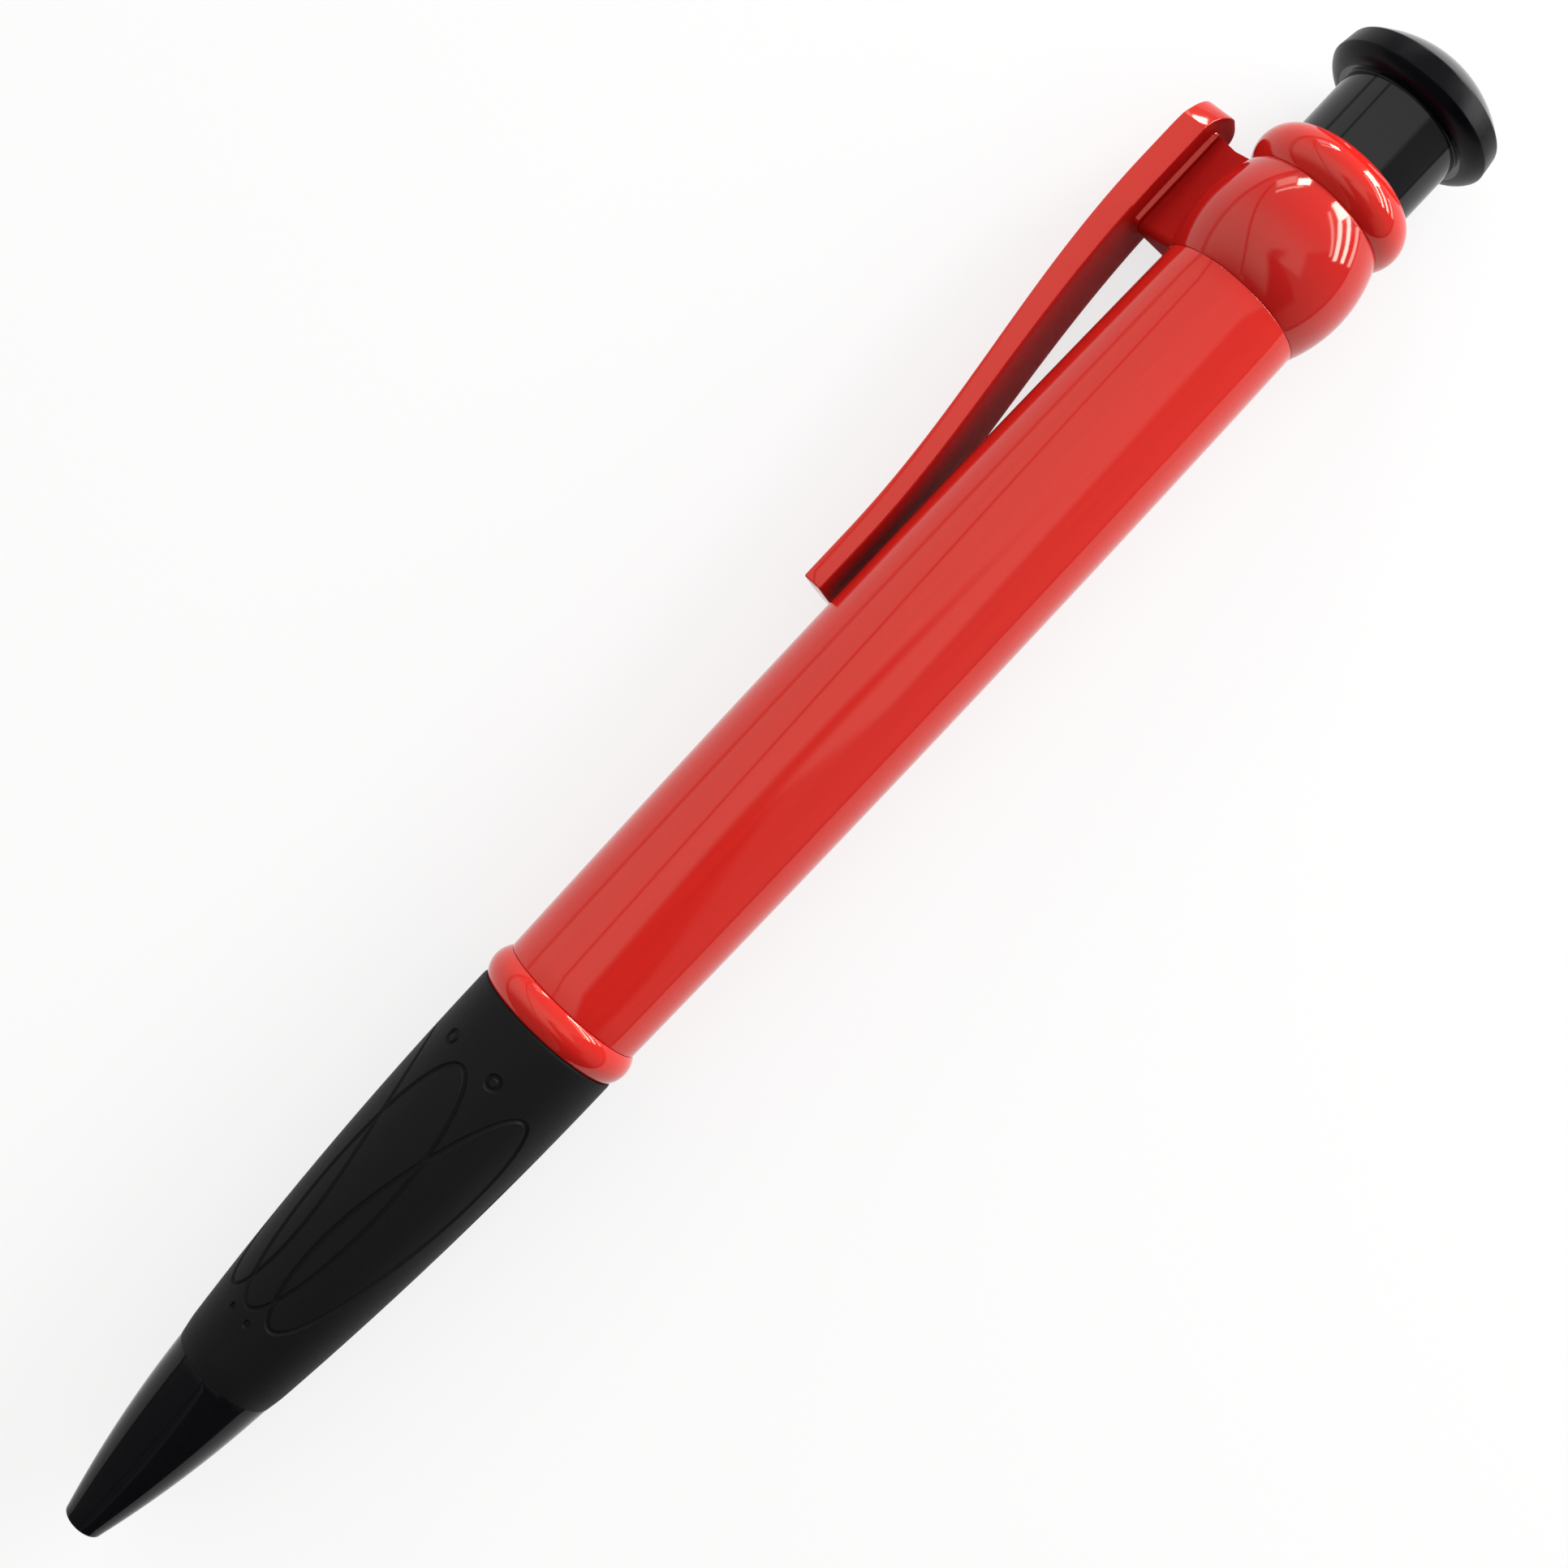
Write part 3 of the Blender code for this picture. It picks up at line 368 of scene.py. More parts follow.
# Grain of the materials: its fineness, the span of its noise that is used and the depth of its relief.
GRAIN_DETAIL = 4.0
GRAIN_ROUGHNESS = 0.55
GRAIN_SPAN = (0.3, 0.7)
GRAIN_RELIEF = 0.05 * MM
GLOSS = (0.06, 0.1)
BLACK_GLOSS = (0.07, 0.11)

# Window panes: turns about the vertical from the button's end and heights above the floor, both in
# degrees seen from the knob, and brightness.
PANE_DISTANCE = 0.9
WINDOW_PANES = (
    ((-24, -6), (11, 29), 20),
    ((-57, -24), (26, 31), 16),
    ((-57, -24), (15, 20), 16),
    ((-55, -8), (35, 38), 5),
    ((-57, -33), (3, 8), 6),
    ((23, 33), (13, 21), 22),
    ((28, 50), (22, 24), 6),
    ((34, 48), (9, 18), 2.5),
)


def axis_point(place, height, across):
    """World point at a place, a height towards the clip and a distance across."""
    return Vector((
        place - PEN_LENGTH / 2,
        AXIS_Y + height * math.cos(DROOP) - across * math.sin(DROOP),
        AXIS_Z - height * math.sin(DROOP) - across * math.cos(DROOP),
    ))


def round_point(place, radius, turn):
    """World point at a place, a radius and a turn about the axis from the clip."""
    return axis_point(place, radius * math.cos(turn), radius * math.sin(turn))


def smooth(low, high, value):
    """Smooth step from 0 at low to 1 at high."""
    share = min(max((value - low) / (high - low), 0.0), 1.0)
    return share * share * (3 - 2 * share)


def smooth_min(first, second, reach):
    """The smaller of two values, rounded where they are close."""
    near = max(reach - abs(first - second), 0.0) / reach
    return min(first, second) - near * near * reach / 4


def bulged(start, end, bulge, steps):
    """Corners on the circular arc from start to end that swells by bulge."""
    run = end[0] - start[0]
    rise = end[1] - start[1]
    chord = math.hypot(run, rise)
    radius = (chord * chord / 4 + bulge * bulge) / (2 * bulge)
    half_angle = math.asin(chord / 2 / radius)
    points = []
    for i in range(steps + 1):
        angle = half_angle * (2 * i / steps - 1)
        along = chord / 2 + radius * math.sin(angle)
        out = radius * math.cos(angle) - (radius - bulge)
        place = start[0] + (run * along - rise * out) / chord
        points.append((place, start[1] + (rise * along + run * out) / chord, 0))
    return points


def round_arc(centre, radius, first, last, steps):
    """Corners round a centre, with angles from straight out, towards the button."""
    points = []
    for i in range(steps + 1):
        angle = first + (last - first) * i / steps
        points.append((centre[0] + radius * math.sin(angle), centre[1] + radius * math.cos(angle), 0))
    return points


def with_end_rounds(points, front, back):
    """Set how far the first and the last corner of a line are rounded."""
    first = (points[0][0], points[0][1], front)
    last = (points[-1][0], points[-1][1], back)
    return [first] + points[1:-1] + [last]


def softened(corners, closed):
    """Profile points, with each corner (place, radius, reach) rounded over its reach."""
    points = []
    for i, (place, radius, reach) in enumerate(corners):
        here = Vector((place, radius))
        at_end = not closed and i in (0, len(corners) - 1)
        if reach == 0 or at_end:
            points.append(here)
            continue
        before = Vector(corners[i - 1][:2]) - here
        after = Vector(corners[(i + 1) % len(corners)][:2]) - here
        first = here + before.normalized() * min(reach, before.length * CORNER_SHARE)
        last = here + after.normalized() * min(reach, after.length * CORNER_SHARE)
        for step in range(CORNER_STEPS + 1):
            share = step / CORNER_STEPS
            points.append(first * (1 - share) ** 2 + here * 2 * share * (1 - share) + last * share ** 2)
    return points


def swelling(start, end, bulge, steps, front=EDGE_ROUND):
    """Outline that swells between two ends of the body's radius."""
    line = bulged((start, BODY_RADIUS), (end, BODY_RADIUS), bulge, steps)
    return with_end_rounds(line, front, EDGE_ROUND)


def skin(work, first, second):
    """Faces between two rings, either of which may be a single point."""
    count = max(len(first), len(second))
    for i in range(count):
        after = (i + 1) % count
        if len(first) == 1:
            work.faces.new((first[0], second[i], second[after]))
        elif len(second) == 1:
            work.faces.new((first[i], first[after], second[0]))
        else:
            work.faces.new((first[i], first[after], second[after], second[i]))


def sweep(work, rings):
    """Faces along a row of rings, with a cap at each end."""
    for first, second in zip(rings, rings[1:]):
        skin(work, first, second)
    work.faces.new(rings[0])
    work.faces.new(rings[-1])


def finished(work, name):
    """Turn a work mesh into an object with outward faces and crisp corners."""
    bmesh.ops.recalc_face_normals(work, faces=work.faces)
    mesh = bpy.data.meshes.new(name)
    work.to_mesh(mesh)
    work.free()
    mesh.shade_smooth()
    mesh.set_sharp_from_angle(angle=SHARP_ANGLE)
    thing = bpy.data.objects.new(name, mesh)
    bpy.context.scene.collection.objects.link(thing)
    return thing


def dress(thing, node, body, material):
    """Let a piece stand for a node, ride on its body and wear its material."""
    thing.data.materials.append(material)
    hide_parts(node)
    if body is not None:
        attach(thing, body)


def refinish(thing, material, wanted):
    """Give another material to the faces of a piece that are wanted."""
    thing.data.materials.append(material)
    for face in thing.data.polygons:
        if wanted(face):
            face.material_index = 1


def lathe(name, corners, closed=True, sides=OUTER_SIDES):
    """Turn a profile about the pen's axis. An open profile starts and ends on the axis."""
    work = bmesh.new()
    rings = []
    for place, radius in softened(corners, closed):
        if radius < TINY:
            rings.append([work.verts.new(axis_point(place, 0, 0))])
            continue
        ring = []
        for i in range(sides):
            ring.append(work.verts.new(round_point(place, radius, 2 * math.pi * i / sides)))
        rings.append(ring)
    pairs = list(zip(rings, rings[1:]))
    if closed:
        pairs.append((rings[-1], rings[0]))
    for first, second in pairs:
        skin(work, first, second)
    return finished(work, name)


def nose_outer():
    """Bullet outline of the nose."""
    edge = (NOSE_TIP_ROUND, NOSE_TIP_RADIUS - NOSE_TIP_ROUND)
    end = round_arc(edge, NOSE_TIP_ROUND, -math.pi / 2, 0, NOSE_TIP_STEPS)
    back = (GRIP_START - SEAM_SHOWN, NOSE_BASE_RADIUS)
    side = bulged(end[-1][:2], back, NOSE_BULGE, NOSE_STEPS)
    return end + with_end_rounds(side, 0, HAIR_ROUND)[1:]


def make_nose(material):
    """Nose cone with its tip hole, spring pocket and socket."""
    socket = GRIP_START - NOSE_SOCKET - SEAM
    near = [radius for place, radius, _ in nose_outer() if place <= socket][-1]
    inner = [
        (GRIP_START - SEAM_SHOWN, near - NOSE_WALL, FINE_ROUND),
        (socket, near - NOSE_WALL, 0),
        (socket, SPRING_CAVITY, 0),
        (SPRING_SHOULDER, SPRING_CAVITY, SOFT_ROUND),
        (SPRING_SHOULDER, HOLDER_CAVITY, 0),
        (NOSE_END_WALL + HOLDER_CAVITY - TIP_HOLE, HOLDER_CAVITY, 0),
        (NOSE_END_WALL, TIP_HOLE, 0),
        (0, TIP_HOLE, HOLE_ROUND),
    ]
    nose = lathe("nose_shell", nose_outer() + inner)
    dress(nose, "nose_cone", "housing", material)


def grip_line(share):
    """Radius of the grip's plain outline at a share of its length."""
    straight = GRIP_FRONT_RADIUS + (GRIP_BACK_RADIUS - GRIP_FRONT_RADIUS) * share
    return straight + 4 * GRIP_BULGE * share * (1 - share)


def grip_radius(place):
    """Outer radius of the plain grip, with rounded ends."""
    share = (place - GRIP_START) / (GRIP_END - GRIP_START)
    plain = grip_line(share) - GRIP_LIP * (1 - smooth(GRIP_START, GRIP_START + GRIP_LIP_LENGTH, place))
    edge = GRIP_FRONT_EDGE if share < 0.5 else GRIP_BACK_EDGE
    near_end = edge - min(place - GRIP_START, GRIP_END - place)
    if near_end > 0:
        plain -= edge - math.sqrt(max(edge * edge - near_end * near_end, 0.0))
    return plain


def leaf_points(side):
    """Unrolled points (place, turn from the fan's middle) round one leaf. side is -1, 0 or 1."""
    points = []
    for i in range(LEAF_POINTS):
        angle = 2 * math.pi * i / LEAF_POINTS
        share = (1 - math.cos(angle)) / 2
        bend = share - LEAF_BEND * math.sin(2 * math.pi * share)
        middle = side * (FAN_NEAR + FAN_SPREAD * bend)
        half = LEAF_HALF_WIDTH * math.sin(angle) * (1 + LEAF_LEAN * math.cos(angle))
        points.append((LEAF_START + (LEAF_END - LEAF_START) * share, middle + half))
    return points


def unrolled(place, turn):
    """Flat millimetre coordinates of a point of the grip, for distances along its surface."""
    return Vector((place / MM, turn * grip_radius(place) / MM))


def spaced(points, step):
    """Closed line through the points, at even steps along it."""
    line = points + points[:1]
    gaps = [(unrolled(*b) - unrolled(*a)).length for a, b in zip(line, line[1:])]
    count = max(8, round(sum(gaps) / (step / MM)))
    target = sum(gaps) / count
    result = []
    walked = 0.0
    for (a, b), gap in zip(zip(line, line[1:]), gaps):
        while len(result) < count and len(result) * target <= walked + gap:
            share = (len(result) * target - walked) / gap
            result.append((a[0] + (b[0] - a[0]) * share, a[1] + (b[1] - a[1]) * share))
        walked += gap
    return result


def mark_circle(place, turn, radius):
    """Points of a small circle on the grip."""
    points = []
    for i in range(MARK_SIDES):
        angle = 2 * math.pi * i / MARK_SIDES
        across = radius * math.sin(angle) / grip_radius(place)
        points.append((place + radius * math.cos(angle), turn + across))
    return points


def engraved_lines():
    """The grip's grooves on one mould half, as closed lines of (place, turn)."""
    lines = [spaced(leaf_points(side), LEAF_STEP) for side in (-1, 0, 1)]
    for side in (-1, 1):
        lines.append(mark_circle(RING_MARK_PLACE, side * RING_MARK_TURN, RING_MARK_RADIUS))
        dot_line = DOT_MARK_RADIUS * DOT_LINE_SHARE
        lines.append(mark_circle(DOT_MARK_PLACE, side * DOT_MARK_TURN, dot_line))
    return lines


class NearestLine:
    """Distance from a flat point to the nearest groove, by a coarse grid of short segments."""

    def __init__(self, lines):
        self.cells = {}
        for line in lines:
            flat = [unrolled(*point) for point in line]
            for a, b in zip(flat, flat[1:] + flat[:1]):
                middle = (a + b) / 2
                key = (math.floor(middle.x), math.floor(middle.y))
                self.cells.setdefault(key, []).append((a, b))

    def distance(self, point):
        """Distance in millimetres, up to the largest that is told apart."""
        best = GROOVE_FAR
        column = math.floor(point.x)
        row = math.floor(point.y)
        for i in range(column - CELL_REACH, column + CELL_REACH + 1):
            for j in range(row - CELL_REACH, row + CELL_REACH + 1):
                for a, b in self.cells.get((i, j), ()):
                    along = b - a
                    share = (point - a).dot(along) / max(along.length_squared, NO_LENGTH)
                    best = min(best, (point - a - along * min(max(share, 0.0), 1.0)).length)
        return best


def grip_half_flat(lines, nearest):
    """Flat triangles of one mould half of the grip, finer along the grooves."""
    rows = [GRIP_START + reach * MM for reach in GRIP_END_ROWS]
    span = GRIP_END - GRIP_START - 2 * GRIP_END_REACH
    count = round(span / GRIP_GRID)
    for i in range(1, count):
        rows.append(GRIP_START + GRIP_END_REACH + span * i / count)
    rows += [GRIP_END - reach * MM for reach in reversed(GRIP_END_ROWS)]
    flat = []
    for place in rows:
        for i in range(GRIP_COLUMNS + 1):
            turn = math.pi * (i / GRIP_COLUMNS - 0.5)
            on_border = i in (0, GRIP_COLUMNS)
            if on_border or nearest.distance(unrolled(place, turn)) > GROOVE_CLEAR:
                flat.append((place / MM, math.degrees(turn)))
    edges = []
    for line in lines:
        around = [unrolled(*point) for point in line]
        for offset in (-GROOVE_HALF_WIDTH, -GROOVE_FLOOR, GROOVE_FLOOR, GROOVE_HALF_WIDTH):
            first = len(flat)
            for i, (place, turn) in enumerate(line):
                along = around[(i + 1) % len(line)] - around[i - 1]
                normal = Vector((-along.y, along.x)).normalized() * offset
                moved = place + normal.x
                turned = turn + normal.y / grip_radius(place)
                flat.append((moved / MM, math.degrees(turned)))
            last = len(flat)
            edges += [(i, i + 1) for i in range(first, last - 1)] + [(last - 1, first)]
    points = [Vector(point) for point in flat]
    points, _, faces, *_ = delaunay_2d_cdt(points, edges, [], 0, FLAT_TOLERANCE)
    return points, faces


def make_grip(material):
    """Rubber sleeve with engraved leaves, rings and dots, the same on both mould halves."""
    lines = engraved_lines()
    nearest = NearestLine(lines)
    points, faces = grip_half_flat(lines, nearest)
    work = bmesh.new()
    for half in (0, 1):
        made = []
        for point in points:
            place = point.x * MM
            turn = math.radians(point.y)
            away = nearest.distance(unrolled(place, turn)) * MM
            depth = 1 - smooth(GROOVE_FLOOR, GROOVE_HALF_WIDTH, away)
            radius = grip_radius(place) - GROOVE_DEPTH * depth
            made.append(work.verts.new(round_point(place, radius, FAN_TURN + turn + math.pi * half)))
        for face in faces:
            work.faces.new([made[i] for i in face])
    bmesh.ops.remove_doubles(work, verts=work.verts, dist=WELD)
    close_sleeve(work)
    grip = finished(work, "grip_skin")
    dress(grip, "grip_sleeve", "housing", material)


def close_sleeve(work):
    """Add the grip's inner wall between its two open ends."""
    border = [tuple(edge.verts) for edge in work.edges if edge.is_boundary]
    for step in range(1, SLEEVE_STEPS + 1):
        moved = {}
        for vertex in (end for pair in border for end in pair):
            if vertex not in moved:
                moved[vertex] = work.verts.new(inner_point(vertex.co, step))
        for first, second in border:
            work.faces.new((first, second, moved[second], moved[first]))
        border = [(moved[first], moved[second]) for first, second in border]
    bmesh.ops.remove_doubles(work, verts=work.verts, dist=WELD)


def inner_point(outer, step):
    """Point of the sleeve's inner wall, on the way from an open end to the middle."""
    offset = outer - axis_point(0, 0, 0)
    across = Vector((0, offset.y, offset.z)).normalized()
    middle = (GRIP_START + GRIP_END) / 2
    end = GRIP_START if offset.x < middle else GRIP_END
    place = end + (middle - end) * (step - 1) / (SLEEVE_STEPS - 1)
    radius = grip_line((place - GRIP_START) / (GRIP_END - GRIP_START)) - GRIP_WALL
    return axis_point(place, 0, 0) + across * radius


def make_tube(name, stands_for, outer, ends, material):
    """Red tube with the barrel's bore between its two ends."""
    inner = [(ends[1], BARREL_BORE, 0), (ends[0], BARREL_BORE, 0)]
    dress(lathe(name, outer + inner), stands_for, "housing", material)


def make_collar(material):
    """Rounded bead."""
    ends = (COLLAR_START, BARREL_START - SEAM_SHOWN)
    outer = swelling(*ends, COLLAR_BULGE, COLLAR_STEPS)
    make_tube("collar_bead", "collar_ring", outer, ends, material)


def make_barrel(material):
    """Long tube."""
    ends = (BARREL_START, KNOB_START - SEAM_SHOWN)
    outer = swelling(*ends, BARREL_BULGE, BARREL_STEPS, SOFT_ROUND)
    make_tube("barrel_tube", "barrel", outer, ends, material)


def box_distance(point, half, rounding):
    """Signed distance from a rounded box about the origin."""
    reach = [abs(value) - size + rounding for value, size in zip(point, half)]
    outside = math.sqrt(sum(max(value, 0.0) ** 2 for value in reach))
    return outside + min(max(reach), 0.0) - rounding


def pedestal_ring(height, inset):
    """Outline of the pedestal at a height, as points (place, across), rounder on the nose's side."""
    half = PEDESTAL_HALF_WIDTH + PEDESTAL_DRAFT * (PEDESTAL_TOP - height) - inset
    front = FOOT_START + inset
    back = FOOT_END - inset - FOOT_LAP * min((PEDESTAL_TOP - height) / PEDESTAL_LEAN, 1.0)
    corners = (
        (back - PEDESTAL_CORNER, half - PEDESTAL_CORNER, PEDESTAL_CORNER),
        (front + PEDESTAL_ROUND, half - PEDESTAL_ROUND, PEDESTAL_ROUND),
        (front + PEDESTAL_ROUND, PEDESTAL_ROUND - half, PEDESTAL_ROUND),
        (back - PEDESTAL_CORNER, PEDESTAL_CORNER - half, PEDESTAL_CORNER),
    )
    points = []
    for quarter, (place, across, reach) in enumerate(corners):
        for i in range(PEDESTAL_STEPS + 1):
            angle = math.pi / 2 * (quarter + i / PEDESTAL_STEPS)
            points.append((place + reach * math.cos(angle), across + reach * math.sin(angle)))
    return points


def make_pedestal():
    """Drafted block that carries the clip's foot."""
    work = bmesh.new()
    rings = []
    levels = (
        (PEDESTAL_ROOT, 0.0),
        (PEDESTAL_TOP - PEDESTAL_LEAN, 0.0),
        (PEDESTAL_TOP - PEDESTAL_EDGE, 0.0),
        (PEDESTAL_TOP, PEDESTAL_EDGE),
    )
    for height, inset in levels:
        outline = pedestal_ring(height, inset)
        rings.append([work.verts.new(axis_point(place, height, across)) for place, across in outline])
    sweep(work, rings)
    return finished(work, "pedestal")


def fuse(base, other):
    """Join the other object into the base object."""
    union = base.modifiers.new("union", "BOOLEAN")
    union.operation = "UNION"
    union.object = other
    graph = bpy.context.evaluated_depsgraph_get()
    mesh = bpy.data.meshes.new_from_object(base.evaluated_get(graph))
    base.modifiers.clear()
    base.data = mesh
    bpy.data.objects.remove(other)
    mesh.shade_smooth()
    mesh.set_sharp_from_angle(angle=SHARP_ANGLE)


def make_knob(material, matt):
    """Bulged housing with the clip's pedestal in darker low-gloss red as painted shade, its spigot and
    its two bores.
    """
    end = RING_START - SEAM_SHOWN
    outer = swelling(KNOB_START, end, KNOB_BULGE, KNOB_STEPS)
    start = KNOB_START - SPIGOT_LENGTH
    well = RING_END - STEM_HIDDEN - SPRING_STROKE - SEAM
    inner = [
        (end, BUTTON_BORE, 0),
        (well, BUTTON_BORE, 0),
        (well, SLEEVE_SEAT, 0),
        (start, SLEEVE_SEAT, 0),
        (start, SPIGOT_RADIUS, 0),
        (KNOB_START, SPIGOT_RADIUS, 0),
    ]
    knob = lathe("knob_housing", outer + inner)
    dress(knob, "knob", "housing", material)
    knob.data.materials.append(matt)
    pedestal = make_pedestal()
    pedestal.data.materials.append(material)
    # The whole pedestal takes the darker red, painted shade under the clip.
    refinish(pedestal, matt, lambda face: True)
    fuse(knob, pedestal)


def make_ring(material):
    """Rounded ring behind the knob."""
    centre = (RING_CREST, RING_CENTRE_RADIUS)
    arc = round_arc(centre, RING_TUBE, -RING_FRONT_ANGLE, RING_BACK_ANGLE, RING_STEPS)
    outer = with_end_rounds(arc, FINE_ROUND, EDGE_ROUND)
    ring = lathe("ring_bead", outer + [(RING_START, BUTTON_BORE, 0)])
    dress(ring, "top_ring", "housing", material)


def make_button(material, satin):
    """Domed push button with a hollow stem, a boss inside and a satin rim."""
    rim_back = FLANGE_RADIUS - FLANGE_TAPER
    ball = (rim_back ** 2 + CROWN_HEIGHT ** 2) / (2 * CROWN_HEIGHT)
    first = math.pi / 2 - math.asin(rim_back / ball)
    crown = round_arc((PEN_LENGTH - ball, 0), ball, first, math.pi / 2, CROWN_STEPS)
    crown[0] = (crown[0][0], crown[0][1], SOFT_ROUND)
    crown[-1] = (PEN_LENGTH, 0, 0)
    stem_end = RING_END - STEM_HIDDEN
    roof = RIM_END - ROOF_DEPTH
    boss_foot = roof - BOSS_DEPTH
    inner = [
        (roof, 0, 0),
        (roof, BOSS_BORE, 0),
        (boss_foot, BOSS_BORE, SOFT_ROUND),
        (boss_foot, BOSS_RADIUS, SOFT_ROUND),
        (roof, BOSS_RADIUS, WIDE_ROUND),
        (roof, ROOF_RADIUS, WIDE_ROUND),
        (FLANGE_ROOT, STEM_BORE, BORE_ROUND),
        (stem_end, STEM_BORE, SOFT_ROUND),
        (stem_end, STEM_RADIUS, WIDE_ROUND),
    ]
    rim = (RIM_START, FLANGE_RADIUS)
    underside = bulged((FLANGE_ROOT, STEM_RADIUS), rim, FLANGE_BULGE, FLANGE_STEPS)
    underside = with_end_rounds(underside, FINE_ROUND, RIM_ROUND)
    button = lathe("push_button", inner + underside + crown, closed=False)
    dress(button, "button", "button", material)
    root = axis_point(FLANGE_ROOT, 0, 0)

    def on_flange(face):
        """Whether a face is on the flange's underside or rim."""
        offset = face.center - root
        in_flange = 0 < offset.x < RIM_END - FLANGE_ROOT
        return in_flange and math.hypot(offset.y, offset.z) > STEM_RADIUS

    refinish(button, satin, on_flange)


def clip_share(place):
    """How far the clip has risen, from 0 at its tip to 1 over its foot."""
    first = CLIP_START + CLIP_FLAT
    share = (place - first) / (FOOT_START + CLIP_CREST - first)
    return (1 - math.cos(math.pi * min(max(share, 0.0), 1.0))) / 2


def clip_outer(place):
    """Height of the clip's outer face, which droops a little at its end."""
    droop = CLIP_END_DROOP * smooth(CLIP_END - CLIP_DROOP_BEFORE, CLIP_END + CLIP_DROOP_AFTER, place)
    return CLIP_TIP_UNDER + CLIP_TIP_THICKNESS + CLIP_RISE * clip_share(place) - droop


def clip_under(place, across):
    """Height of the clip's inner face, with the foot at its root."""
    share = clip_share(place)
    growth = (CLIP_ROOT_THICKNESS - CLIP_TIP_THICKNESS) * share ** 2
    height = CLIP_TIP_UNDER + CLIP_RISE * share - growth
    height -= CLIP_END_GROWTH * smooth(FOOT_END - CLIP_GROWTH_BEFORE, CLIP_END, place)
    half = ((FOOT_END - FOOT_START) / 2, FOOT_HALF_WIDTH)
    offset = (place - (FOOT_START + FOOT_END) / 2, across)
    edge = box_distance(offset, half, FOOT_CORNER)
    foot = FOOT_UNDER + FOOT_SLOPE * max(edge, 0.0)
    if foot > height + FOOT_REACH:
        return height
    behind = smooth(FOOT_START - FOOT_FRONT_HALF, FOOT_START + FOOT_FRONT_HALF, place)
    return smooth_min(height, foot, FOOT_BLEND + FOOT_FRONT_BLEND * (1 - behind))


def clip_end():
    """Places and half widths round the clip's end: a corner, a nearly straight side and a round."""
    first, second = CLIP_END_TURNS
    side = CLIP_END_SIDE * (math.cos(first) - math.cos(second))
    tip = (CLIP_WIDTH / 2 - CLIP_END_CORNER * (1 - math.cos(first)) - side) / math.cos(second)
    arcs = ((CLIP_END_CORNER, 0, first), (CLIP_END_SIDE, first, second), (tip, second, CLIP_END_STOP))
    place = CLIP_END - tip * (1 - math.sin(second))
    place -= CLIP_END_SIDE * (math.sin(second) - math.sin(first)) + CLIP_END_CORNER * math.sin(first)
    half = CLIP_WIDTH / 2
    points = [(place, half)]
    for radius, start, stop in arcs:
        for i in range(CLIP_END_STEPS):
            before = start + (stop - start) * i / CLIP_END_STEPS
            after = start + (stop - start) * (i + 1) / CLIP_END_STEPS
            place += radius * (math.sin(after) - math.sin(before))
            half -= radius * (math.cos(before) - math.cos(after))
            points.append((place, half))
    return points


def clip_stations():
    """Places of the clip's cross-sections, each with its half width and edge rounding."""
    half = CLIP_WIDTH / 2
    stations = []
    for i in range(CLIP_TIP_STEPS):
        angle = math.pi / 2 * i / CLIP_TIP_STEPS
        inset = CLIP_EDGE * (1 - math.sin(angle))
        stations.append((CLIP_START + CLIP_EDGE * (1 - math.cos(angle)), half - inset, inset))
    place = CLIP_START + CLIP_EDGE
    end = clip_end()
    bend_end = end[0][0]
    while place < bend_end:
        stations.append((place, half, 0.0))
        near_foot = abs(place - FOOT_START) < CLIP_FINE_REACH
        place += CLIP_FINE_STEP if near_foot else CLIP_STEP
    stations += [(place, reach, 0.0) for place, reach in end]
    return stations


def clip_ring(place, half, inset):
    """Cross-section of the clip as points (across, height)."""
    past = (place - (CLIP_END - CLIP_END_EDGE)) / CLIP_END_EDGE
    past = min(max(past, 0.0), CLIP_END_LIMIT)
    fall = CLIP_END_EDGE * (1 - math.sqrt(1 - past * past))
    lift = inset + fall * CLIP_UNDER_FALL
    top = clip_outer(place) - inset - fall
    edge = min(CLIP_EDGE, half * CLIP_EDGE_SHARE)
    inner = half - edge
    points = []
    for i in range(CLIP_TOP_STEPS + 1):
        points.append((inner * (2 * i / CLIP_TOP_STEPS - 1), top))
    corner = [math.pi / 2 * i / CORNER_STEPS for i in range(1, CORNER_STEPS)]
    side = [(inner + edge * math.sin(a), top - edge + edge * math.cos(a)) for a in corner]
    side_low = clip_under(place, half) + lift
    side += [(half, top - edge), (half, side_low + edge)]
    side += [(inner + edge * math.cos(a), side_low + edge - edge * math.sin(a)) for a in corner]
    points += side
    across = [inner * share for share in CLIP_UNDER_SHARES]
    for value in across + [0.0] + [-value for value in reversed(across)]:
        points.append((value, clip_under(place, value) + lift))
    points += [(-value, height) for value, height in reversed(side)]
    return points


def make_clip(material, matt):
    """Curved clip with rounded edges, a foot and a low-gloss inner face whose darker red is painted
    shade.
    """
    work = bmesh.new()
    rings = []
    for place, half, inset in clip_stations():
        ring = []
        for across, height in clip_ring(place, half, inset):
            bow = CLIP_TIP_BOW * (across / (CLIP_WIDTH / 2)) ** 2
            bow *= max(0.0, 1 - (place - CLIP_START) / CLIP_TIP_BOW_REACH)
            ring.append(work.verts.new(axis_point(place + bow, height, across)))
        rings.append(ring)
    sweep(work, rings)
    clip = finished(work, "pocket_clip")
    dress(clip, "clip", None, material)
    inward = axis_point(0, 0, 0) - axis_point(0, 1, 0)
    foot_front = axis_point(FOOT_START + PAINTED_SHADE_FRONT_REACH, 0, 0).x

    def on_inner_side(face):
        """Whether a face is on the clip's inner side or on the front of its foot."""
        limit = PAINTED_SHADE_FRONT if face.center.x < foot_front else PAINTED_SHADE_UNDER
        return face.normal.dot(inward) > limit

    # The inner faces take the darker red, painted shade between the clip and the barrel.
    refinish(clip, matt, on_inner_side)
    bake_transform(clip)


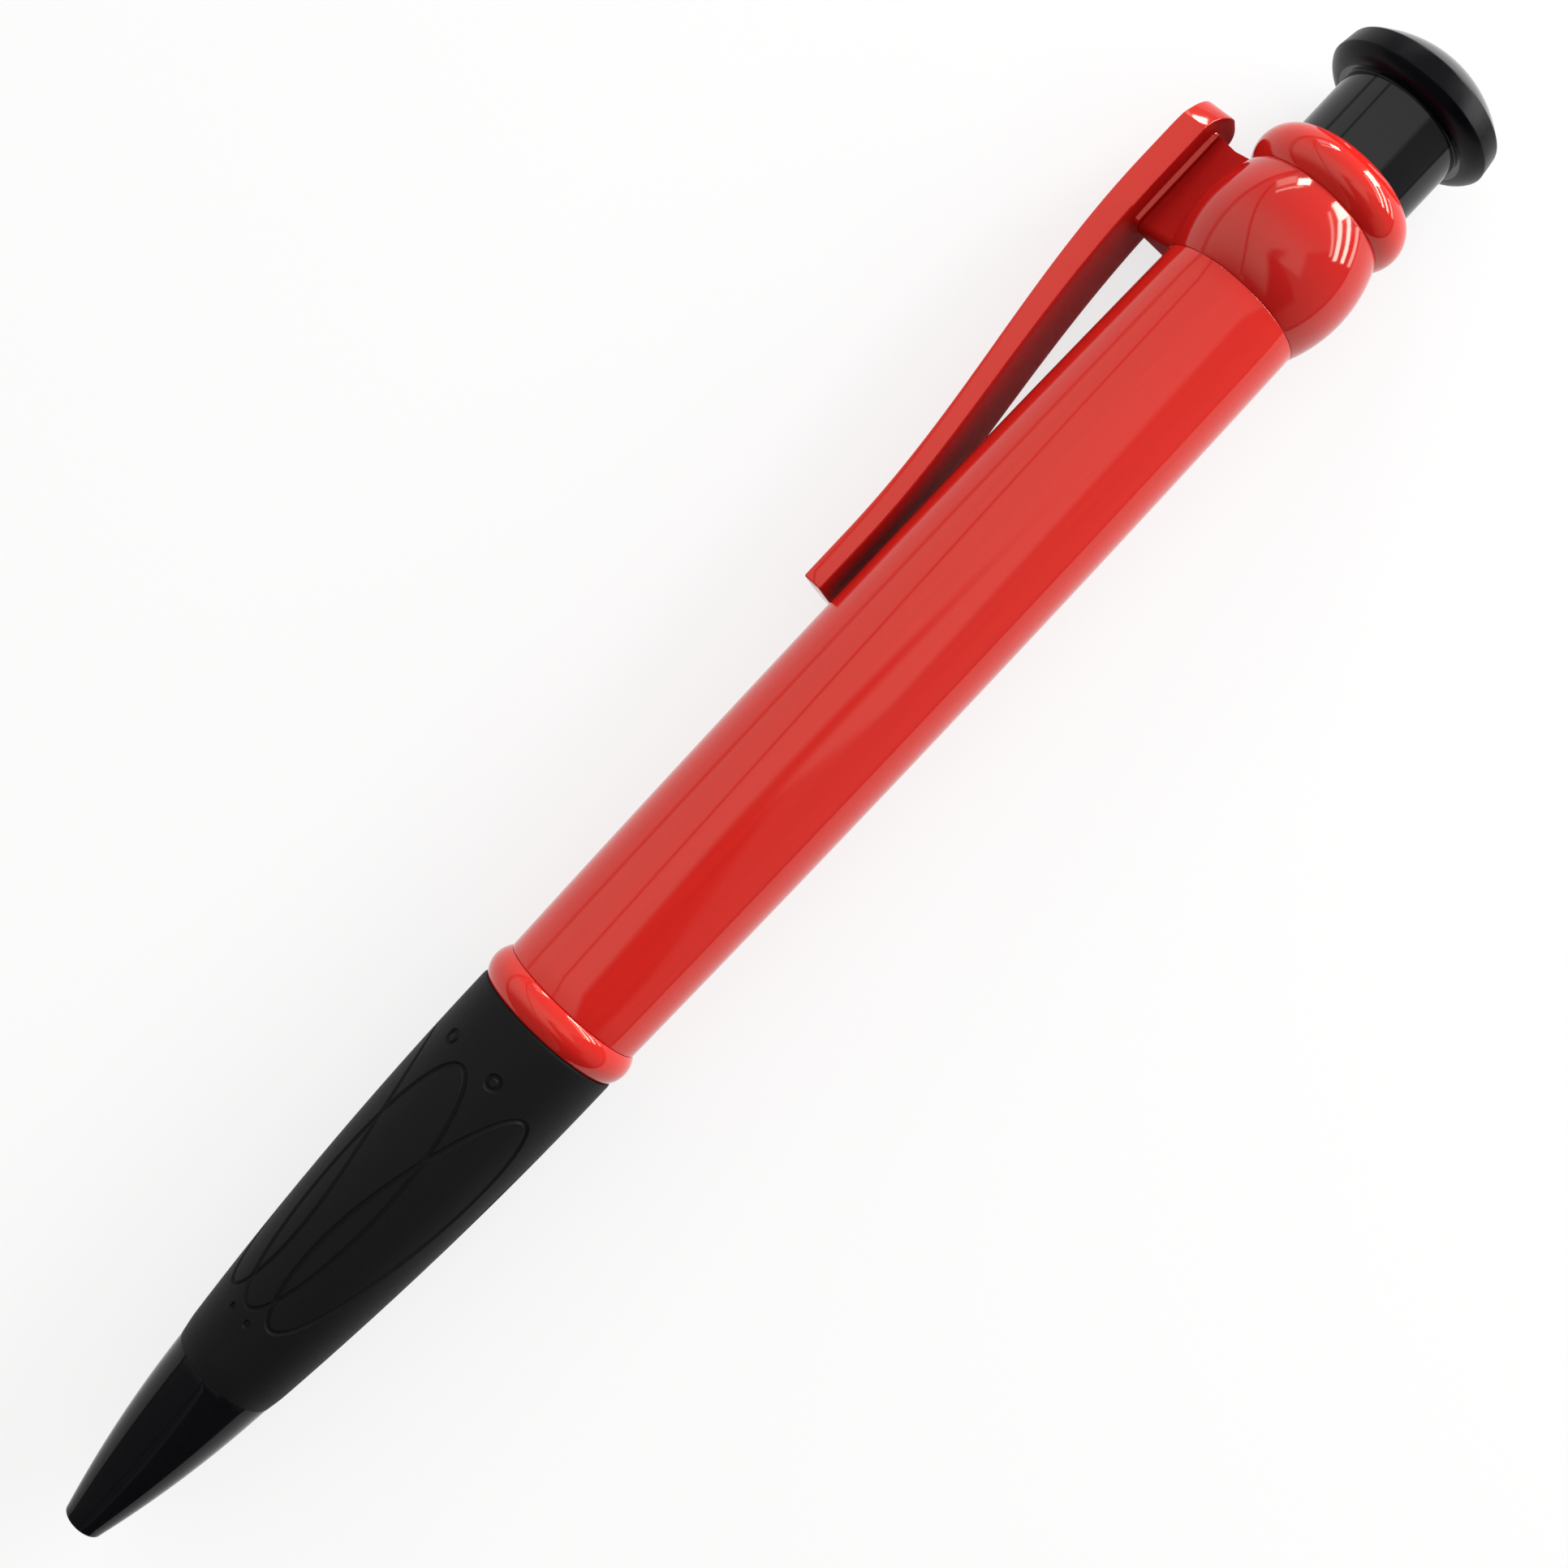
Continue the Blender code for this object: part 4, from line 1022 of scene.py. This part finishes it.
def make_spring(material):
    """Return spring with closed end turns."""
    count = (SPRING_TURNS + 2) * SPRING_STEPS
    first = SPRING_SHOULDER + SEAM + SPRING_WIRE
    last = SPRING_SHOULDER + SPRING_LENGTH + SEAM - SPRING_WIRE
    ends = SPRING_END_LEAD * SPRING_WIRE
    work = bmesh.new()
    rings = []
    for i in range(count + 1):
        turn = 2 * math.pi * i / SPRING_STEPS
        share = min(max((i - SPRING_STEPS) / (count - 2 * SPRING_STEPS), 0.0), 1.0)
        lead = min(i / SPRING_STEPS, 1.0) + max((i - count) / SPRING_STEPS + 1, 0.0)
        place = first + ends * lead + (last - first - 2 * ends) * share
        out = Vector((math.cos(turn), math.sin(turn)))
        ring = []
        for j in range(SPRING_SIDES):
            angle = 2 * math.pi * j / SPRING_SIDES
            radius = SPRING_RADIUS + SPRING_WIRE * math.cos(angle)
            ring.append(work.verts.new(axis_point(
                place + SPRING_WIRE * math.sin(angle), radius * out.x, radius * out.y,
            )))
        rings.append(ring)
    sweep(work, rings)
    spring = finished(work, "coil_spring")
    dress(spring, "return_spring", "housing", material)
    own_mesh(spring)


def make_tip(material):
    """Refill tip: turned cone with a small step, a lip round the ball and its socket."""
    corners = [(place * MM, radius * MM, reach * MM) for place, radius, reach in TIP_OUTLINE]
    tip = lathe("writing_tip", corners, sides=TIP_SIDES)
    dress(tip, "refill_tip", "refill", material)


def make_ball(material):
    """Smooth writing ball."""
    work = bmesh.new()
    bmesh.ops.create_icosphere(work, subdivisions=BALL_SPLITS, radius=BALL_RADIUS)
    bmesh.ops.translate(work, vec=axis_point(BALL_PLACE, 0, 0), verts=work.verts)
    ball = finished(work, "rolling_ball")
    dress(ball, "writing_ball", "ball", material)


def put(tree, socket, value):
    """Set an input to a value, or link it to an output."""
    if isinstance(value, bpy.types.NodeSocket):
        tree.links.new(value, socket)
    else:
        socket.default_value = value


def new_node(tree, kind, **settings):
    """A shader node with its inputs set to values or outputs, by input name."""
    made = tree.nodes.new(kind)
    for name, value in settings.items():
        put(tree, made.inputs[name.replace("_", " ")], value)
    return made


def grained(name, colour, other, rough, grain, stretch=(1, 1, 1), bump=0.0, metallic=0.0, specular=0.5,
            tint=(1, 1, 1, 1)):
    """Material whose colour, roughness and surface vary with a fine noise.

    grain is the noise's cells in a metre, and stretch scales its axes.
    """
    material = bpy.data.materials.new(name)
    material.use_nodes = True
    tree = material.node_tree
    place = tree.nodes.new("ShaderNodeTexCoord").outputs["Object"]
    spread = new_node(tree, "ShaderNodeMapping", Vector=place, Scale=stretch).outputs["Vector"]
    noise = new_node(tree, "ShaderNodeTexNoise", Vector=spread, Scale=grain, Detail=GRAIN_DETAIL,
                     Roughness=GRAIN_ROUGHNESS).outputs["Fac"]
    paint = new_node(tree, "ShaderNodeValToRGB", Fac=noise)
    for end, span, shade in zip(paint.color_ramp.elements, GRAIN_SPAN, (colour, other)):
        end.position = span
        end.color = shade
    gloss = new_node(tree, "ShaderNodeMapRange", Value=noise, From_Min=GRAIN_SPAN[0],
                     From_Max=GRAIN_SPAN[1], To_Min=rough[0], To_Max=rough[1])
    looks = {
        "Metallic": metallic,
        "Specular IOR Level": specular,
        "Specular Tint": tint,
        "Base Color": paint.outputs["Color"],
        "Roughness": gloss.outputs["Result"],
    }
    if bump > 0:
        relief = new_node(tree, "ShaderNodeBump", Strength=bump, Distance=GRAIN_RELIEF, Height=noise)
        looks["Normal"] = relief.outputs["Normal"]
    for name, value in looks.items():
        put(tree, tree.nodes["Principled BSDF"].inputs[name], value)
    return material


def make_materials():
    """Every material of the pen, by name."""
    along = (0.02, 1, 1)
    turned = (1, 0.05, 0.05)
    return {
        "barrel": grained("red_barrel", *RED, GLOSS, 900, along, 0.03, tint=RED_GLOSS),
        "red": grained("red_gloss", *RED, GLOSS, 60, bump=0.02, tint=RED_GLOSS),
        "knob": grained("red_housing", *KNOB_RED, GLOSS, 60, bump=0.02, tint=RED_GLOSS),
        # Darker low-gloss red: painted shade on the pedestal and under the clip.
        "matt": grained("red_matt_painted_shade", *MATT_RED_PAINTED_SHADE, (0.45, 0.55), 900, bump=0.05, specular=0.03),
        "nose": grained("black_nose", *NOSE_BLACK, BLACK_GLOSS, 120, bump=0.02, specular=0.16),
        "black": grained("black_gloss", *BLACK, BLACK_GLOSS, 120, bump=0.02, specular=0.38),
        "satin": grained("black_satin", *BLACK, (0.26, 0.34), 400, bump=0.05, specular=0.1),
        "rubber": grained("black_rubber", *RUBBER, (0.5, 0.65), 5000, bump=0.35, specular=0.12),
        "core": grained("black_core", *CORE, (0.35, 0.5), 1500, bump=0.1),
        "white": grained("white_moulded", *WHITE, (0.3, 0.42), 1200, bump=0.08),
        "tube": grained("ink_tube", *INK, (0.12, 0.2), 400, bump=0.03),
        "brass": grained("turned_brass", *BRASS, (0.2, 0.32), 6000, turned, 0.1, metallic=1.0),
        "steel": grained("bright_steel", *STEEL, (0.16, 0.26), 3000, bump=0.06, metallic=1.0),
    }


def dress_nodes(nodes, materials):
    """Give the inner nodes that stay as they are their materials."""
    wear = {
        "core": ["front_core"],
        "white": ["refill_guide", "cam_sleeve", "cam_plunger", "cam_rotor", "thrust_tube", "refill_tail",
                  "tip_holder", "spring_seat"],
        "tube": ["refill_tube"],
    }
    for name, members in wear.items():
        for member in members:
            data = nodes[member].data
            data.materials.clear()
            data.materials.append(materials[name])


def make_camera():
    """Camera above the pen, turned so that the pen lies across the picture's diagonal."""
    back = Vector((0, math.sin(CAMERA_LEAN), math.cos(CAMERA_LEAN)))
    along = Vector((1, 0, 0))
    side = back.cross(along)
    right = along * math.cos(CAMERA_ROLL) - side * math.sin(CAMERA_ROLL)
    up = along * math.sin(CAMERA_ROLL) + side * math.cos(CAMERA_ROLL)
    data = bpy.data.cameras.new("camera")
    data.lens = CAMERA_LENS
    data.sensor_width = CAMERA_SENSOR
    data.shift_x, data.shift_y = CAMERA_SHIFT
    data.clip_start = CAMERA_NEAR
    camera = bpy.data.objects.new("camera", data)
    bpy.context.scene.collection.objects.link(camera)
    turn = Matrix((right, up, back)).transposed().to_4x4()
    spot = axis_point(CAMERA_PLACE, 0, 0) + back * CAMERA_DISTANCE
    camera.matrix_world = Matrix.Translation(spot) @ turn
    bpy.context.scene.camera = camera


def pane(name, turns, heights, level):
    """A soft light that fills a stretch of directions seen from the knob, in degrees."""
    turn = math.radians(sum(turns) / 2)
    height = math.radians(sum(heights) / 2)
    aim = Vector((math.cos(turn) * math.cos(height), math.sin(turn) * math.cos(height), math.sin(height)))
    data = bpy.data.lights.new(name, "AREA")
    data.shape = "RECTANGLE"
    data.size = PANE_DISTANCE * math.radians(turns[1] - turns[0]) * math.cos(height)
    data.size_y = PANE_DISTANCE * math.radians(heights[1] - heights[0])
    data.energy = level * math.pi * data.size * data.size_y
    thing = bpy.data.objects.new(name, data)
    bpy.context.scene.collection.objects.link(thing)
    face = aim.to_track_quat("Z", "Y").to_matrix().to_4x4()
    thing.matrix_world = Matrix.Translation(axis_point(KNOB_START, 0, 0) + aim * PANE_DISTANCE) @ face


def make_lights():
    """Two windows beyond the button, in panes, which give the small bright marks."""
    for i, (turns, heights, level) in enumerate(WINDOW_PANES):
        pane("window_%d" % i, turns, heights, level)


def maths(tree, operation, first, second=0.0):
    """Output of a math node on two values, each a number or an output."""
    made = tree.nodes.new("ShaderNodeMath")
    made.operation = operation
    for socket, value in zip(made.inputs, (first, second)):
        put(tree, socket, value)
    return made.outputs["Value"]


def mixed(tree, share, first, second):
    """Output of a shader that goes from first to second as share goes from 0 to 1."""
    made = tree.nodes.new("ShaderNodeMixShader")
    for socket, value in zip(made.inputs, (share, first, second)):
        put(tree, socket, value)
    return made.outputs["Shader"]


def stepped(tree, value, low, high, start, end):
    """Output that goes smoothly from start to end as the value goes from low to high."""
    made = new_node(tree, "ShaderNodeMapRange", Value=value, From_Min=low, From_Max=high, To_Min=start,
                    To_Max=end)
    made.interpolation_type = "SMOOTHSTEP"
    return made.outputs["Result"]


def seen_by(tree, *rays):
    """Output that is 1 for the named kinds of ray and 0 for the others."""
    path = tree.nodes.new("ShaderNodeLightPath")
    seen = path.outputs[rays[0]]
    for ray in rays[1:]:
        seen = maths(tree, "MAXIMUM", seen, path.outputs[ray])
    return seen


def sloped(tree, value, slope, offset):
    """Output of slope times the value, plus offset."""
    return maths(tree, "ADD", maths(tree, "MULTIPLY", value, slope), offset)


def room_level(tree):
    """How bright the room is in each direction.

    lean is the angle from straight up towards the clip's side, and along the direction's share along
    the pen. The clip's side is bright, with a thin dark ceiling edge and dark horizons. The far side
    is dimmer, a dark wedge lies over the barrel's front half, and both ends of the room fall off. Ahead
    of the nose a bright strip borders a dark part.
    """
    way = tree.nodes.new("ShaderNodeTexCoord").outputs["Generated"]
    split = new_node(tree, "ShaderNodeSeparateXYZ", Vector=way)
    along = split.outputs["X"]
    lean = maths(tree, "ARCTAN2", split.outputs["Y"], split.outputs["Z"])
    upper = WEDGE_UPPER_END
    for border in WEDGE_UPPER:
        upper = maths(tree, "MINIMUM", sloped(tree, along, *border), upper)
    lower = maths(tree, "MINIMUM", sloped(tree, along, *WEDGE_LOWER), WEDGE_LOWER_ENDS[1])
    lower = maths(tree, "MAXIMUM", lower, WEDGE_LOWER_ENDS[0])
    edge = maths(tree, "MAXIMUM", *(sloped(tree, along, *border) for border in SIDE_BORDERS))
    edge = maths(tree, "MINIMUM", edge, upper)
    bright = stepped(tree, maths(tree, "SUBTRACT", lean, edge), *SIDE_STEP)
    under = stepped(tree, maths(tree, "SUBTRACT", upper, lean), *WEDGE_UNDER)
    over = stepped(tree, maths(tree, "SUBTRACT", lean, lower), *WEDGE_OVER)
    wedge = stepped(tree, maths(tree, "MULTIPLY", under, over), *WEDGE_SHADE)
    ceiling = maths(tree, "SUBTRACT", lean, sloped(tree, along, *CEILING_BORDER))
    ceiling_edge = stepped(tree, maths(tree, "ABSOLUTE", ceiling), *CEILING_EDGE)
    horizon = stepped(tree, lean, *HORIZON)
    far_horizon = stepped(tree, lean, *FAR_HORIZON)
    front = stepped(tree, along, *FRONT_FALL)
    back = stepped(tree, along, *BACK_FALL)
    strip = maths(tree, "SUBTRACT", lean, sloped(tree, along, *STRIP_BORDER))
    shade = stepped(tree, strip, *STRIP_SHADE)
    light = stepped(tree, maths(tree, "ABSOLUTE", strip), *STRIP_LIGHT)
    ahead = maths(tree, "SUBTRACT", maths(tree, "MULTIPLY", shade, light), 1.0)
    ahead = maths(tree, "MULTIPLY", ahead, stepped(tree, along, *STRIP_END))
    ahead = maths(tree, "ADD", ahead, 1.0)
    level = bright
    for factor in (wedge, ceiling_edge, horizon, far_horizon, front, back, ahead):
        level = maths(tree, "MULTIPLY", level, factor)
    return level


def make_world():
    """Soft room light, which is white behind the pen for the camera."""
    world = bpy.data.worlds.new("studio")
    bpy.context.scene.world = world
    world.use_nodes = True
    tree = world.node_tree
    share = stepped(tree, seen_by(tree, "Is Glossy Ray"), 0.0, 1.0, ROOM_SHARE, 1.0)
    light = tree.nodes["Background"]
    put(tree, light.inputs["Color"], ROOM_COLOUR)
    put(tree, light.inputs["Strength"], maths(tree, "MULTIPLY", room_level(tree), share))
    white = new_node(tree, "ShaderNodeBackground", Color=(1, 1, 1, 1), Strength=1.0)
    seen = seen_by(tree, "Is Camera Ray", "Is Transmission Ray")
    shown = mixed(tree, seen, light.outputs["Background"], white.outputs["Background"])
    put(tree, tree.nodes["World Output"].inputs["Surface"], shown)


def make_floor():
    """Pale floor, lifted to white but for a soft shadow, and plain white far off."""
    work = bmesh.new()
    bmesh.ops.create_grid(work, x_segments=1, y_segments=1, size=FLOOR_REACH)
    floor = finished(work, "floor")
    material = bpy.data.materials.new("floor_white")
    material.use_nodes = True
    tree = material.node_tree
    tree.nodes.remove(tree.nodes["Principled BSDF"])
    pale = new_node(tree, "ShaderNodeBsdfDiffuse", Color=(FLOOR_TONE, FLOOR_TONE, FLOOR_TONE, 1))
    place = tree.nodes.new("ShaderNodeTexCoord").outputs["Object"]
    reach = new_node(tree, "ShaderNodeVectorMath", Vector=place)
    reach.operation = "LENGTH"
    share = stepped(tree, reach.outputs["Value"], *FLOOR_FADE, FLOOR_WHITE, 1.0)
    white = new_node(tree, "ShaderNodeEmission", Color=(1, 1, 1, 1), Strength=1.0)
    seen = seen_by(tree, "Is Camera Ray", "Is Transmission Ray", "Is Glossy Ray")
    lifted = maths(tree, "MULTIPLY", seen, share)
    shown = mixed(tree, lifted, pale.outputs["BSDF"], white.outputs["Emission"])
    put(tree, tree.nodes["Material Output"].inputs["Surface"], shown)
    floor.data.materials.append(material)


def main():
    """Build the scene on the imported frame."""
    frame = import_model()
    materials = make_materials()
    dress_nodes(frame["nodes"], materials)
    make_nose(materials["nose"])
    make_grip(materials["rubber"])
    make_collar(materials["red"])
    make_barrel(materials["barrel"])
    make_knob(materials["knob"], materials["matt"])
    make_ring(materials["red"])
    make_button(materials["black"], materials["satin"])
    make_clip(materials["red"], materials["matt"])
    make_spring(materials["steel"])
    make_tip(materials["brass"])
    make_ball(materials["steel"])
    make_camera()
    make_lights()
    make_world()
    make_floor()
    bpy.context.scene.view_settings.view_transform = "Standard"


main()
